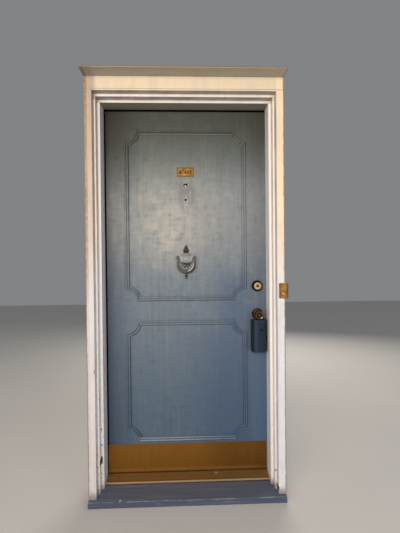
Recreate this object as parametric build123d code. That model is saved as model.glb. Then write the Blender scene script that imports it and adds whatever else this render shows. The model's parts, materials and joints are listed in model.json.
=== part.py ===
"""Panelled front door hung in its stepped wooden frame, with sill, threshold and door furniture.

Millimetres. X runs across the door from the hinge side (-X) to the lock side (+X).
Y runs from the street (-Y) to the room (+Y), with the door's street face on Y = 0.
Z runs up from the underside of the sill. The door is shut and both bolts are drawn back.
"""
import math
import os

from build123d import *

# Door slab
door_width = 914.0
door_height = 2032.0
door_thickness = 44.5
door_bottom = 75.0
door_gap = 3.2

# Jambs, with stops planted on them that the door shuts against
stop_cover = 12.7
stop_gap = 3.0
jamb_thickness = 19.0
reveal_depth = 90.0

# Stepped front of the frame: each step stands further out than the one inside it
jamb_edge_width = 13.0
step_width = 11.0
step_depth = 39.0
head_stop_cover = 17.2
head_edge_width = 14.5
head_step_width = 16.0
step_edge_round = 3.0
casing_width = 41.0
casing_depth = 36.0
casing_edge_round = 2.5
head_band_height = 8.5
head_board_height = 64.5
cap_thickness = 8.0
cap_projection = 85.0
cap_edge_round = 2.5

# Sill and threshold
sill_front_height = 32.0
sill_back_height = 43.0
sill_projection = 21.0
sill_slope_end = -50.0
sill_inner_reach = 15.5
sill_end_inset = 2.5
sill_edge_round = 3.0
threshold_clearance = 4.0
threshold_nose_height = 6.0
threshold_nose_reach = 53.0
threshold_ridge_setback = 2.0
threshold_wall = 3.0
threshold_nose_width = 12.0
gasket_width = 7.0
gasket_foot_width = 3.0
gasket_foot_depth = 1.6
seal_clearance = 0.3
weatherstrip_width = 9.0
weatherstrip_inset = 1.5

# Planted mouldings round the two panels, from the door's top down; their sides stay clear of the key safe
top_rail_height = 128.0
upper_panel_height = 946.0
middle_rail_height = 112.0
lower_panel_bottom = 171.0
panel_safe_gap = 19.5
moulding_width = 24.0
moulding_height = 9.0
moulding_edge_height = 3.5
moulding_valley_width = 3.0
scoop_radius = 64.0

# Brass plates on the street face
kickplate_side_gap = 4.5
kickplate_height = 153.0
kickplate_lift = 4.0
plate_thickness = 1.2
nameplate_width = 94.0
nameplate_height = 52.0
nameplate_drop = 230.0
nameplate_bevel = 0.6

# Viewer below the nameplate and the old bolt hole below the viewer
viewer_drop = 74.0
viewer_radius = 12.5
viewer_wall = 2.5
viewer_sink = 2.0
viewer_lens_thickness = 3.0
viewer_lens_sink = 5.0
viewer_lens_crown = 2.0
viewer_flange_radius = 16.0
viewer_flange_thickness = 2.0
old_hole_drop = 80.0
old_hole_radius = 6.3
old_hole_depth = 32.0

# Butt hinges
hinge_height = 101.6
hinge_leaf_thickness = 3.0
hinge_leaf_setback = 8.5
hinge_top_distance = 178.0
hinge_bottom_distance = 254.0
knuckle_count = 5
knuckle_radius = 7.0
knuckle_gap = 0.3
hinge_pin_radius = 3.0
hinge_fit = 0.1
pin_head_radius = 5.0
pin_head_height = 3.0
hinge_screw_count = 3

# Screws
screw_head_radius = 4.2
screw_head_depth = 2.2
screw_shank_radius = 2.2
screw_length = 16.0

# Locks: both bolts sit at the middle of the slab's thickness
backset = 60.0
knob_level = 878.0
deadbolt_level = 1036.0
cross_bore_radius = 27.0
edge_bore_radius = 12.7
faceplate_width = 25.4
faceplate_height = 57.2
faceplate_thickness = 2.4
case_radius = 11.9
case_bore_radius = 10.5
case_reach = 20.0
bolt_width = 13.0
bolt_height = 15.5
bolt_clearance = 0.3
bolt_end_chamfer = 0.9
bolt_tail_thickness = 3.0
bolt_tail_drop = 5.5
bolt_tail_height = 3.0
fork_prong = 2.4
crank_pin_radius = 2.0
crank_arm_thickness = 2.6
crank_arm_gap = 0.4
crank_pin_overhang = 1.0
crank_hub_radius = 7.0
crank_end_radius = 3.2
latch_throw = 12.7
latch_turn = 60.0
latch_body = 34.0
latch_fork_play = 0.4
latch_fork_height = 15.0
latch_nose = 3.5
deadbolt_throw = 25.4
deadbolt_quarter_turn = 90.0
deadbolt_body = 36.0
deadbolt_fork_play = 0.8
deadbolt_fork_height = 19.0

# Strikes in the lock-side jamb
strike_height = 70.0
strike_width = 28.0
strike_thickness = 1.8
strike_hole_play_y = 1.1
strike_hole_play_z = 1.75
strike_pocket_margin = 0.8
strike_lip_height = 28.0
strike_lip_overhang = 2.0
strike_screw_spread = 50.0

# Knob set
rose_radius = 31.0
rose_thickness = 10.0
rose_edge_height = 3.0
rose_bead_radius = 27.0
rose_bead_height = 7.5
rose_dome_radius = 15.5
rose_bore_gap = 0.5
knob_neck_radius = 10.5
knob_neck_length = 24.0
knob_radius = 25.0
knob_length = 31.0
knob_shoulder_radius = 22.0
knob_shoulder_length = 8.0
knob_rim_radius = 20.0
knob_dish_radius = 17.0
knob_floor_radius = 13.0
knob_dish_depth = 3.0
knob_recess = 1.0
spindle_radius = 4.8
spindle_fit = 0.1
spindle_socket = 22.0
knob_plug_radius = 6.4
knob_plug_length = 14.0
plug_fit = 0.1
keyway_width = 2.0
keyway_height = 8.0
keyway_depth = 6.0

# Deadbolt furniture
collar_radius = 31.0
collar_height = 22.0
collar_edge_height = 5.5
collar_brow_radius = 28.0
collar_brow_height = 17.6
collar_face_radius = 23.0
cylinder_radius = 21.0
cylinder_stand = 1.5
deadbolt_plug_radius = 7.4
deadbolt_plug_length = 18.0
tailpiece_width = 7.0
tailpiece_thickness = 2.5
thumb_rose_height = 12.0
thumb_rose_edge = 4.8
thumb_rose_face_radius = 26.0
thumb_hub_radius = 9.0
thumb_hub_gap = 0.3
thumb_hub_length = 8.0
thumb_paddle_width = 36.0
thumb_paddle_thickness = 7.0
thumb_paddle_height = 22.0

# Urn knocker: levels are above the upper panel's bottom edge
urn_tip = 313.0
urn_flame_foot = 295.0
urn_dish_level = 285.0
urn_shoulder_level = 261.0
urn_dome_level = 234.0
urn_dome_bottom = 212.0
urn_stem_top = 188.0
urn_collar_level = 138.0
urn_foot = 118.0
urn_rim = 4.0
urn_cove = 7.0
urn_flame_radius = 7.8
urn_waist_radius = 3.6
urn_dish_radius = 16.0
urn_shoulder_radius = 28.0
urn_neck_radius = 25.0
urn_dome_radius = 37.5
urn_base_radius = 12.0
urn_stem_radius = 6.0
urn_collar_radius = 9.0
bail_half_width = 52.0
bail_arm = 12.0
bail_bottom = 152.0
bail_belly = 6.0
bail_thickness = 10.0
bail_edge_round = 3.0
bail_pivot_level = 242.0
bail_pivot_reach = 18.5
bail_ear_radius = 7.0
bail_stand = 15.0
bail_pin_radius = 2.5
bail_pin_hold = 4.0
bail_pin_head_radius = 4.5
bail_pin_head = 2.0
bail_side_gap = 0.6
strike_boss_radius = 9.0
strike_boss_face_radius = 6.3
strike_boss_crown = 2.0
strike_boss_gap = 0.3

# Key safe hung from the knob's neck
safe_width = 86.0
safe_depth = 47.0
safe_height = 178.0
safe_shift = 3.5
safe_drop = 27.0
safe_door_gap = 8.0
safe_side_chamfer = 13.0
safe_front_chamfer = 15.0
safe_corner_round = 7.0
safe_end_round = 3.5
safe_dial_radius = 7.5
safe_dial_depth = 2.0
safe_dial_side = 9.5
safe_dial_drop = 56.0
shackle_bar_radius = 4.0
shackle_bend_radius = 17.0
shackle_reach = 25.0
shackle_slack = 0.5
shackle_socket = 10.0
shackle_socket_gap = 0.15

# Bell push on the lock-side casing
bell_plate_width = 46.5
bell_plate_height = 79.0
bell_plate_thickness = 6.0
bell_plate_bottom = 980.0
bell_plate_overhang = 15.0
bell_plate_round = 2.0
bell_plate_corner_round = 4.0
bell_button_inset = 19.0
bell_button_level = 1005.0
bell_button_radius = 6.2
bell_button_round = 1.2
bell_button_gap = 0.3
bell_button_stand = 3.5
bell_flange_radius = 8.6
bell_flange_thickness = 1.0
bell_pocket_depth = 3.2
bell_travel = 2.5
bell_spring_room = 3.5

# Holes for the screws that hold the jambs to the wall: an outer pair and an inner pair between them
wall_screw_radius = 2.75
wall_screw_foot_level = 200.0
wall_screw_head_drop = 77.0
wall_screw_inner_spread = 730.0

# Places worked out from the dimensions above
half_door = door_width / 2
door_top = door_bottom + door_height
rabbet_x = half_door + door_gap
rabbet_z = door_top + door_gap
stop_x = rabbet_x - stop_cover
stop_z = rabbet_z - head_stop_cover
jamb_x = rabbet_x + jamb_thickness
jamb_z = rabbet_z + jamb_thickness
step_x = stop_x + jamb_edge_width
step_z = stop_z + head_edge_width
casing_x = step_x + step_width
casing_z = step_z + head_step_width
frame_x = casing_x + casing_width
board_z = casing_z + head_band_height
cap_z = board_z + head_board_height
jamb_front = -reveal_depth
step_front = jamb_front - step_depth
casing_front = step_front - casing_depth
sill_front = casing_front - sill_projection
sill_back = door_thickness + sill_inner_reach
threshold_top = door_bottom - threshold_clearance
lock_x = half_door - backset
lock_y = door_thickness / 2
knob_z = door_bottom + knob_level
deadbolt_z = door_bottom + deadbolt_level
safe_x = lock_x + safe_shift
safe_left = safe_x - safe_width / 2
safe_right = safe_x + safe_width / 2
panel_half_width = safe_left - panel_safe_gap
upper_panel_top = door_top - top_rail_height
upper_panel_bottom = upper_panel_top - upper_panel_height
lower_panel_top = upper_panel_bottom - middle_rail_height
nameplate_z = upper_panel_top - nameplate_drop
viewer_z = nameplate_z - viewer_drop
old_hole_z = viewer_z - old_hole_drop
latch_crank = latch_throw / (2 * math.sin(math.radians(latch_turn / 2)))
deadbolt_crank = deadbolt_throw / (2 * math.sin(math.radians(deadbolt_quarter_turn / 2)))
hinge_pin_x = -half_door - door_gap / 2
hinge_pin_y = door_thickness + knuckle_radius + knuckle_gap
hinge_levels = {
    "top": door_top - hinge_top_distance - hinge_height / 2,
    "middle": (door_top - hinge_top_distance + door_bottom + hinge_bottom_distance) / 2,
    "bottom": door_bottom + hinge_bottom_distance + hinge_height / 2,
}
frame_leaf_x = (-rabbet_x - hinge_leaf_thickness, -rabbet_x)
door_leaf_x = (-half_door, -half_door + hinge_leaf_thickness)
centre_plane = Plane.YZ


def block(low, high):
    """A box between two opposite corners."""
    size = [b - a for a, b in zip(low, high)]
    middle = [(a + b) / 2 for a, b in zip(low, high)]
    return Pos(*middle) * Box(*size)


def polygon(*points):
    return make_face(Polyline(*points, close=True))


def along_x(face, x_low, x_high):
    """Extrude a section drawn in Y and Z from x_low to x_high."""
    return extrude(Plane.YZ.offset(x_low) * face, x_high - x_low)


def along_z(face, z_low, z_high):
    """Extrude a section drawn in X and Y from z_low to z_high."""
    return extrude(Plane.XY.offset(z_low) * face, z_high - z_low)


def rod_x(radius, x_low, x_high, y, z):
    return Pos((x_low + x_high) / 2, y, z) * Rot(0, 90, 0) * Cylinder(radius, x_high - x_low)


def rod_y(radius, y_low, y_high, x, z):
    return Pos(x, (y_low + y_high) / 2, z) * Rot(90, 0, 0) * Cylinder(radius, y_high - y_low)


def rod_z(radius, z_low, z_high, x, y):
    return Pos(x, y, (z_low + z_high) / 2) * Cylinder(radius, z_high - z_low)


def turned(x, z, *outline):
    """Revolve a section of (radius, y) points about the line through x and z along Y."""
    section = polygon(*[(radius, y) for radius, y in outline])
    return Pos(x, 0, z) * revolve(section, axis=Axis.Y)


def other_side(solid):
    return mirror(solid, about=centre_plane)


def group(solids):
    return Compound(list(solids))


# Frame

def sill_level(y):
    """Height of the sill's weathered top at a distance y from the door's face."""
    slope = (sill_back_height - sill_front_height) / (sill_slope_end - sill_front)
    return sill_front_height + slope * (y - sill_front)


def above_sill(solid):
    """Cut the foot of an upright to the sill's weathered top."""
    far_front = 2 * sill_front
    far_back = 2 * sill_back
    ground = polygon(
        (far_front, -sill_front_height),
        (far_front, sill_level(far_front)),
        (sill_slope_end, sill_back_height),
        (far_back, sill_back_height),
        (far_back, -sill_front_height),
    )
    return solid - along_x(ground, -2 * frame_x, 2 * frame_x)


def head_jamb():
    return block((-jamb_x, jamb_front, rabbet_z), (jamb_x, door_thickness, jamb_z))


def side_jamb():
    """The lock-side jamb as a plain board under the head."""
    board = block((rabbet_x, jamb_front, 0), (jamb_x, door_thickness, rabbet_z))
    return above_sill(board)


def door_stops():
    """Planted stops: two side strips under a head strip."""
    side = above_sill(block((stop_x, jamb_front, 0), (rabbet_x, -stop_gap, stop_z)))
    head = block((-rabbet_x, jamb_front, stop_z), (rabbet_x, -stop_gap, rabbet_z))
    return other_side(side), side, head


def wall_screw_holes():
    top = door_top - wall_screw_head_drop
    middle = (top + wall_screw_foot_level) / 2
    half = wall_screw_inner_spread / 2
    levels = (wall_screw_foot_level, middle - half, middle + half, top)
    return [rod_x(wall_screw_radius, stop_x, frame_x, lock_y, level) for level in levels]


def step_mouldings():
    """Inner step of the frame's front: two posts and a head, mitred at the corners."""
    post = block((step_x, step_front, 0), (casing_x, jamb_front, casing_z))
    post = fillet(post.edges().filter_by(Axis.Z).group_by(Axis.Y)[0], step_edge_round)
    head = block((-casing_x, step_front, step_z), (casing_x, jamb_front, casing_z))
    head = fillet(head.edges().filter_by(Axis.X).group_by(Axis.Y)[0], step_edge_round)
    across = (head_step_width, 0, -step_width)
    mitre = Plane(origin=(step_x, 0, step_z), x_dir=(0, 1, 0), z_dir=across)
    post = split(post, bisect_by=mitre, keep=Keep.TOP)
    head = split(head, bisect_by=mitre, keep=Keep.BOTTOM)
    head = split(other_side(head), bisect_by=mitre, keep=Keep.BOTTOM)
    post = above_sill(post)
    return other_side(post), post, head


def side_casing():
    board = block((casing_x, casing_front, 0), (frame_x, jamb_front, board_z))
    board = fillet(board.edges().filter_by(Axis.Z).group_by(Axis.Y)[0], casing_edge_round)
    return above_sill(board)


def bell_wire_hole():
    """Room behind the button for its travel and its spring."""
    x, z = bell_button_place()
    end = casing_front + bell_travel + bell_spring_room
    return rod_y(bell_flange_radius + bell_button_gap, casing_front, end, x, z)


def head_trim():
    """Thin band inside the head board, the flat board itself and the cap over it."""
    band = block((-casing_x, casing_front, casing_z), (casing_x, jamb_front, board_z))
    band = fillet(band.edges().filter_by(Axis.X).group_by(Axis.Y)[0].sort_by(Axis.Z)[:1], casing_edge_round)
    board = block((-frame_x, casing_front, board_z), (frame_x, jamb_front, cap_z))
    board = fillet(board.edges().filter_by(Axis.X).group_by(Axis.Y)[0], casing_edge_round)
    cap_front = casing_front - cap_projection
    cap = block((-frame_x, cap_front, cap_z), (frame_x, jamb_front, cap_z + cap_thickness))
    cap = fillet(cap.edges().filter_by(Axis.X).group_by(Axis.Y)[0], cap_edge_round)
    return band, board, cap


def sill():
    section = polygon(
        (sill_front, 0),
        (sill_front, sill_front_height),
        (sill_slope_end, sill_back_height),
        (sill_back, sill_back_height),
        (sill_back, 0),
    )
    end = frame_x - sill_end_inset
    body = along_x(section, -end, end)
    top_front = body.edges().filter_by(Axis.X).group_by(Axis.Y)[0].sort_by(Axis.Z)[-1]
    return fillet(top_front, sill_edge_round)


def threshold():
    """Hollow bevelled saddle with three feet, notched round the stops."""
    nose_top = sill_back_height + threshold_nose_height
    ridge = -threshold_ridge_setback
    wall = threshold_wall
    outer = polygon(
        (-threshold_nose_reach, sill_back_height),
        (-threshold_nose_reach, nose_top),
        (ridge, threshold_top),
        (sill_back, threshold_top),
        (sill_back, sill_back_height),
    )
    slope = (threshold_top - nose_top) / (threshold_nose_reach + ridge)
    hollow_front = -threshold_nose_reach + threshold_nose_width
    front_hollow = polygon(
        (hollow_front, sill_back_height),
        (hollow_front, nose_top + slope * (threshold_nose_width - wall) - wall),
        (ridge, threshold_top - wall - slope * wall),
        (ridge + wall, threshold_top - wall),
        (lock_y - wall, threshold_top - wall),
        (lock_y - wall, sill_back_height),
    )
    back_hollow = polygon(
        (lock_y + wall, sill_back_height),
        (lock_y + wall, threshold_top - wall),
        (sill_back - wall, threshold_top - wall),
        (sill_back - wall, sill_back_height),
    )
    saddle = along_x(outer - front_hollow - back_hollow, -rabbet_x, rabbet_x)
    groove_low = threshold_top - gasket_foot_depth
    half_foot = gasket_foot_width / 2
    saddle -= block((-frame_x, lock_y - half_foot, groove_low), (frame_x, lock_y + half_foot, threshold_top))
    for stop in door_stops():
        saddle -= stop
    return saddle


def threshold_gasket():
    """Vinyl seal set in the threshold's ridge, just short of the door's bottom edge."""
    half = gasket_width / 2
    half_foot = gasket_foot_width / 2
    crown = door_bottom - seal_clearance
    shoulder = (threshold_top + crown) / 2
    outline = Polyline(
        (lock_y + half, shoulder),
        (lock_y + half, threshold_top),
        (lock_y + half_foot, threshold_top),
        (lock_y + half_foot, threshold_top - gasket_foot_depth),
        (lock_y - half_foot, threshold_top - gasket_foot_depth),
        (lock_y - half_foot, threshold_top),
        (lock_y - half, threshold_top),
        (lock_y - half, shoulder),
    )
    outline += ThreePointArc((lock_y - half, shoulder), (lock_y, crown), (lock_y + half, shoulder))
    return along_x(make_face(outline), -rabbet_x, rabbet_x)


def weatherstrips():
    """Flat seals between the door's face and the stops."""
    inner = stop_x + weatherstrip_inset
    outer = inner + weatherstrip_width
    top = stop_z + weatherstrip_inset
    foot = threshold_top
    side = block((inner, -stop_gap, foot), (outer, -seal_clearance, top))
    head = block((-outer, -stop_gap, top), (outer, -seal_clearance, top + weatherstrip_width))
    return other_side(side), side, head


# Screws

def screw_x(x, y, z, towards):
    """Countersunk screw with its head flush at x, driven along +X or -X."""
    outline = polygon(
        (0, 0),
        (screw_head_radius, 0),
        (screw_shank_radius, -screw_head_depth),
        (screw_shank_radius, -screw_length),
        (0, -screw_length),
    )
    turned_screw = revolve(outline, axis=Axis.Y)
    return Pos(x, y, z) * Rot(0, 0, 90 * towards) * turned_screw


def hinge_screws(face_x, towards):
    leaf_middle = (hinge_leaf_setback + door_thickness) / 2
    pitch = hinge_height / hinge_screw_count
    screws = []
    for level in hinge_levels.values():
        for index in range(hinge_screw_count):
            z = level + (index - (hinge_screw_count - 1) / 2) * pitch
            stagger = screw_head_radius if index % 2 else -screw_head_radius
            screws.append(screw_x(face_x, leaf_middle + stagger, z, towards))
    return screws


def strike_screws():
    screws = []
    for level in (knob_z, deadbolt_z):
        for sign in (-1, 1):
            screws.append(screw_x(rabbet_x, lock_y, level + sign * strike_screw_spread / 2, 1))
    return screws


def faceplate_screws():
    spread = (faceplate_height + bolt_height) / 2
    screws = []
    for level in (knob_z, deadbolt_z):
        for sign in (-1, 1):
            screws.append(screw_x(half_door, lock_y, level + sign * spread / 2, -1))
    return screws


# Hinges

def knuckle_levels(level, wanted):
    """Lower and upper ends of every second knuckle, starting at index wanted."""
    pitch = hinge_height / knuckle_count
    bottom = level - hinge_height / 2
    ends = []
    for index in range(wanted, knuckle_count, 2):
        ends.append((bottom + index * pitch, bottom + (index + 1) * pitch))
    return ends


def leaf_plate(x_near, x_far, level):
    low = (x_near, hinge_leaf_setback, level - hinge_height / 2)
    high = (x_far, hinge_pin_y, level + hinge_height / 2)
    return block(low, high)


def hinge_leaf(x_near, x_far, level, first, bore):
    """One leaf with its own knuckles, cut back round the other leaf's knuckles and bored."""
    leaf = leaf_plate(x_near, x_far, level)
    clear = knuckle_radius + knuckle_gap
    for low, high in knuckle_levels(level, 1 - first):
        leaf -= rod_z(clear, low - knuckle_gap / 2, high + knuckle_gap / 2, hinge_pin_x, hinge_pin_y)
    for low, high in knuckle_levels(level, first):
        foot = low + knuckle_gap / 2
        leaf += rod_z(knuckle_radius, foot, high - knuckle_gap / 2, hinge_pin_x, hinge_pin_y)
    half = hinge_height
    return leaf - rod_z(bore, level - half, level + half, hinge_pin_x, hinge_pin_y)


def hinge_pin(level):
    low = level - hinge_height / 2
    high = level + hinge_height / 2
    pin = rod_z(hinge_pin_radius, low, high, hinge_pin_x, hinge_pin_y)
    return pin + rod_z(pin_head_radius, high, high + pin_head_height, hinge_pin_x, hinge_pin_y)


# Strikes

def strike_pocket(level):
    """Hole behind a strike, right through the jamb."""
    half_y = bolt_width / 2 + strike_hole_play_y + strike_pocket_margin
    half_z = bolt_height / 2 + strike_hole_play_z + strike_pocket_margin
    return block((rabbet_x, lock_y - half_y, level - half_z), (frame_x, lock_y + half_y, level + half_z))


def strike_outline(level, lip):
    low = (rabbet_x, lock_y - strike_width / 2, level - strike_height / 2)
    high = (rabbet_x + strike_thickness, lock_y + strike_width / 2, level + strike_height / 2)
    plate = block(low, high)
    if lip:
        half = strike_lip_height / 2
        edge = door_thickness + strike_lip_overhang
        plate += block((rabbet_x, lock_y, level - half), (rabbet_x + strike_thickness, edge, level + half))
    return plate


def strike(level, lip):
    half_y = bolt_width / 2 + strike_hole_play_y
    half_z = bolt_height / 2 + strike_hole_play_z
    plate = strike_outline(level, lip)
    low = (stop_x, lock_y - half_y, level - half_z)
    high = (frame_x, lock_y + half_y, level + half_z)
    return plate - block(low, high)


# Bolts and their cranks

def bolt_case(level):
    """Faceplate with the tube that guides the bolt."""
    face_back = half_door - faceplate_thickness
    plate = block(
        (face_back, lock_y - faceplate_width / 2, level - faceplate_height / 2),
        (half_door, lock_y + faceplate_width / 2, level + faceplate_height / 2),
    )
    tube_back = lock_x + case_reach
    case = plate + rod_x(case_radius, tube_back, face_back, lock_y, level)
    case -= rod_x(case_bore_radius, tube_back, face_back, lock_y, level)
    half_y = bolt_width / 2 + bolt_clearance
    half_z = bolt_height / 2 + bolt_clearance
    low = (tube_back, lock_y - half_y, level - half_z)
    high = (frame_x, lock_y + half_y, level + half_z)
    return case - block(low, high)


def bolt_tail(level, length, crank, turn, play, fork_height):
    """Bar behind the bolt that ends in an open fork round the crank's pin."""
    fork_x = lock_x - crank * math.sin(math.radians(turn / 2))
    inner = crank_pin_radius + play
    outer = inner + fork_prong
    y_low = lock_y - bolt_tail_thickness / 2
    y_high = lock_y + bolt_tail_thickness / 2
    bar_low = level + bolt_tail_drop
    bar_high = bar_low + bolt_tail_height
    bolt_back = half_door - length
    tail = block((fork_x - outer, y_low, bar_low), (bolt_back, y_high, bar_high))
    for near, far in ((-outer, -inner), (inner, outer)):
        tail += block((fork_x + near, y_low, bar_low), (fork_x + far, y_high, level + fork_height))
    return tail


def latch_bolt():
    """Spring latch, bevelled on the street side so that the closing door pushes it back."""
    half = bolt_width / 2
    section = polygon(
        (half_door - latch_body, lock_y - half),
        (half_door - latch_throw, lock_y - half),
        (half_door, lock_y + half - latch_nose),
        (half_door, lock_y + half),
        (half_door - latch_body, lock_y + half),
    )
    head = along_z(section, knob_z - bolt_height / 2, knob_z + bolt_height / 2)
    return head + bolt_tail(knob_z, latch_body, latch_crank, latch_turn, latch_fork_play, latch_fork_height)


def deadbolt_bolt():
    half_y = bolt_width / 2
    half_z = bolt_height / 2
    head = block(
        (half_door - deadbolt_body, lock_y - half_y, deadbolt_z - half_z),
        (half_door, lock_y + half_y, deadbolt_z + half_z),
    )
    head = chamfer(head.edges().group_by(Axis.X)[-1], bolt_end_chamfer)
    tail = bolt_tail(
        deadbolt_z,
        deadbolt_body,
        deadbolt_crank,
        deadbolt_quarter_turn,
        deadbolt_fork_play,
        deadbolt_fork_height,
    )
    return head + tail


def crank(level, radius, turn):
    """Arm and pin that drive the fork, standing at its drawn-back end."""
    swing = math.radians(-turn / 2)
    pin_x = lock_x + radius * math.sin(swing)
    pin_z = level + radius * math.cos(swing)
    arm_high = lock_y - bolt_tail_thickness / 2 - crank_arm_gap
    arm_low = arm_high - crank_arm_thickness
    arm = Pos(lock_x, (arm_low + arm_high) / 2, level) * Rot(0, -turn / 2, 0) * (
        Pos(0, 0, radius / 2) * Box(2 * crank_end_radius, crank_arm_thickness, radius)
    )
    arm += rod_y(crank_hub_radius, arm_low, arm_high, lock_x, level)
    arm += rod_y(crank_end_radius, arm_low, arm_high, pin_x, pin_z)
    pin_end = lock_y + bolt_tail_thickness / 2 + crank_pin_overhang
    return arm + rod_y(crank_pin_radius, arm_low, pin_end, pin_x, pin_z)


# Knob set

def rose():
    """Dished plate over the cross bore, on the street side."""
    bore = knob_neck_radius + rose_bore_gap
    return turned(
        lock_x,
        knob_z,
        (bore, 0),
        (rose_radius, 0),
        (rose_radius, -rose_edge_height),
        (rose_bead_radius, -rose_bead_height),
        (rose_dome_radius, -rose_thickness),
        (bore, -rose_thickness),
    )


def knob_blank():
    """Turned knob with a dished face, on the street side."""
    neck_end = -rose_thickness - knob_neck_length
    shoulder = neck_end - knob_shoulder_length
    front = neck_end - knob_length
    socket_end = -knob_recess - spindle_socket
    bore = spindle_radius + spindle_fit
    outline = Polyline(
        (bore, -knob_recess),
        (knob_neck_radius, -knob_recess),
        (knob_neck_radius, neck_end),
        (knob_shoulder_radius, shoulder),
    )
    outline += ThreePointArc(
        (knob_shoulder_radius, shoulder),
        (knob_radius, neck_end - knob_length / 2),
        (knob_rim_radius, front),
    )
    outline += Polyline(
        (knob_rim_radius, front),
        (knob_dish_radius, front),
        (knob_floor_radius, front + knob_dish_depth),
        (0, front + knob_dish_depth),
        (0, socket_end),
        (bore, socket_end),
        (bore, -knob_recess),
    )
    return Pos(lock_x, 0, knob_z) * revolve(make_face(outline), axis=Axis.Y)


def knob_plug_face():
    return -rose_thickness - knob_neck_length - knob_length + knob_dish_depth


def knob_outer():
    face = knob_plug_face()
    return knob_blank() - rod_y(knob_plug_radius + plug_fit, face, face + knob_plug_length, lock_x, knob_z)


def keyed_plug(radius, face, length, z):
    """Lock plug with a keyway, its face at y = face and its body towards the room."""
    plug = rod_y(radius, face, face + length, lock_x, z)
    slot = block(
        (lock_x - keyway_width / 2, face, z - keyway_height / 2),
        (lock_x + keyway_width / 2, face + keyway_depth, z + keyway_height / 2),
    )
    return plug - slot


def to_room_side(solid):
    """The same furniture on the room face of the door."""
    return mirror(solid, about=Plane(origin=(0, lock_y, 0), z_dir=(0, 1, 0)))


def knob_spindle():
    reach = knob_recess + spindle_socket
    rod = rod_y(spindle_radius, -reach, door_thickness + reach, lock_x, knob_z)
    return rod + crank(knob_z, latch_crank, latch_turn)


# Deadbolt furniture

def deadbolt_collar():
    bore = cylinder_radius
    return turned(
        lock_x,
        deadbolt_z,
        (bore, 0),
        (collar_radius, 0),
        (collar_radius, -collar_edge_height),
        (collar_brow_radius, -collar_brow_height),
        (collar_face_radius, -collar_height),
        (bore, -collar_height),
    )


def deadbolt_cylinder():
    face = -collar_height - cylinder_stand
    bore = deadbolt_plug_radius + plug_fit
    return turned(
        lock_x,
        deadbolt_z,
        (bore, 0),
        (cylinder_radius, 0),
        (cylinder_radius, -collar_height),
        (cylinder_radius - cylinder_stand, face),
        (bore + cylinder_stand, face),
        (bore, face + cylinder_stand),
    )


def deadbolt_key_plug():
    face = -collar_height
    return keyed_plug(deadbolt_plug_radius, face, deadbolt_plug_length, deadbolt_z)


def deadbolt_tailpiece():
    """Flat bar from the key plug to the thumbturn, with the crank that throws the bolt."""
    start = -collar_height + deadbolt_plug_length
    end = door_thickness + thumb_rose_height - thumb_hub_length
    half_w = tailpiece_width / 2
    half_t = tailpiece_thickness / 2
    bar = block((lock_x - half_t, start, deadbolt_z - half_w), (lock_x + half_t, end, deadbolt_z + half_w))
    return bar + crank(deadbolt_z, deadbolt_crank, deadbolt_quarter_turn)


def thumbturn_rose():
    bore = thumb_hub_radius + thumb_hub_gap
    base = door_thickness
    return turned(
        lock_x,
        deadbolt_z,
        (bore, base),
        (collar_radius, base),
        (collar_radius, base + thumb_rose_edge),
        (thumb_rose_face_radius, base + thumb_rose_height),
        (bore, base + thumb_rose_height),
    )


def thumbturn():
    """Oval paddle on a round hub."""
    hub_low = door_thickness + thumb_rose_height - thumb_hub_length
    hub_high = door_thickness + thumb_rose_height + thumb_hub_gap
    hub = rod_y(thumb_hub_radius, hub_low, hub_high, lock_x, deadbolt_z)
    blade = extrude(Ellipse(thumb_paddle_thickness / 2, thumb_paddle_width / 2), thumb_paddle_height)
    paddle = Pos(lock_x, hub_high, deadbolt_z) * Rot(-90, 0, 0) * blade
    return hub + paddle


# Viewer

def viewer_barrel():
    bore = viewer_radius - viewer_wall
    end = door_thickness + viewer_flange_thickness
    return turned(
        0,
        viewer_z,
        (bore, viewer_sink),
        (viewer_radius, viewer_sink),
        (viewer_radius, door_thickness),
        (viewer_flange_radius, door_thickness),
        (viewer_flange_radius, end),
        (bore, end),
    )


def viewer_lens():
    """Domed glass held inside the barrel."""
    bore = viewer_radius - viewer_wall
    front = viewer_lens_sink
    back = front + viewer_lens_thickness
    brim = front + viewer_lens_crown
    dome = (bore ** 2 + viewer_lens_crown ** 2) / (2 * viewer_lens_crown)
    halfway = (bore / 2, front + dome - math.sqrt(dome ** 2 - bore ** 2 / 4))
    outline = ThreePointArc((0, front), halfway, (bore, brim))
    outline += Polyline((bore, brim), (bore, back), (0, back), (0, front))
    return Pos(0, 0, viewer_z) * revolve(make_face(outline), axis=Axis.Y)


# Knocker

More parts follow.
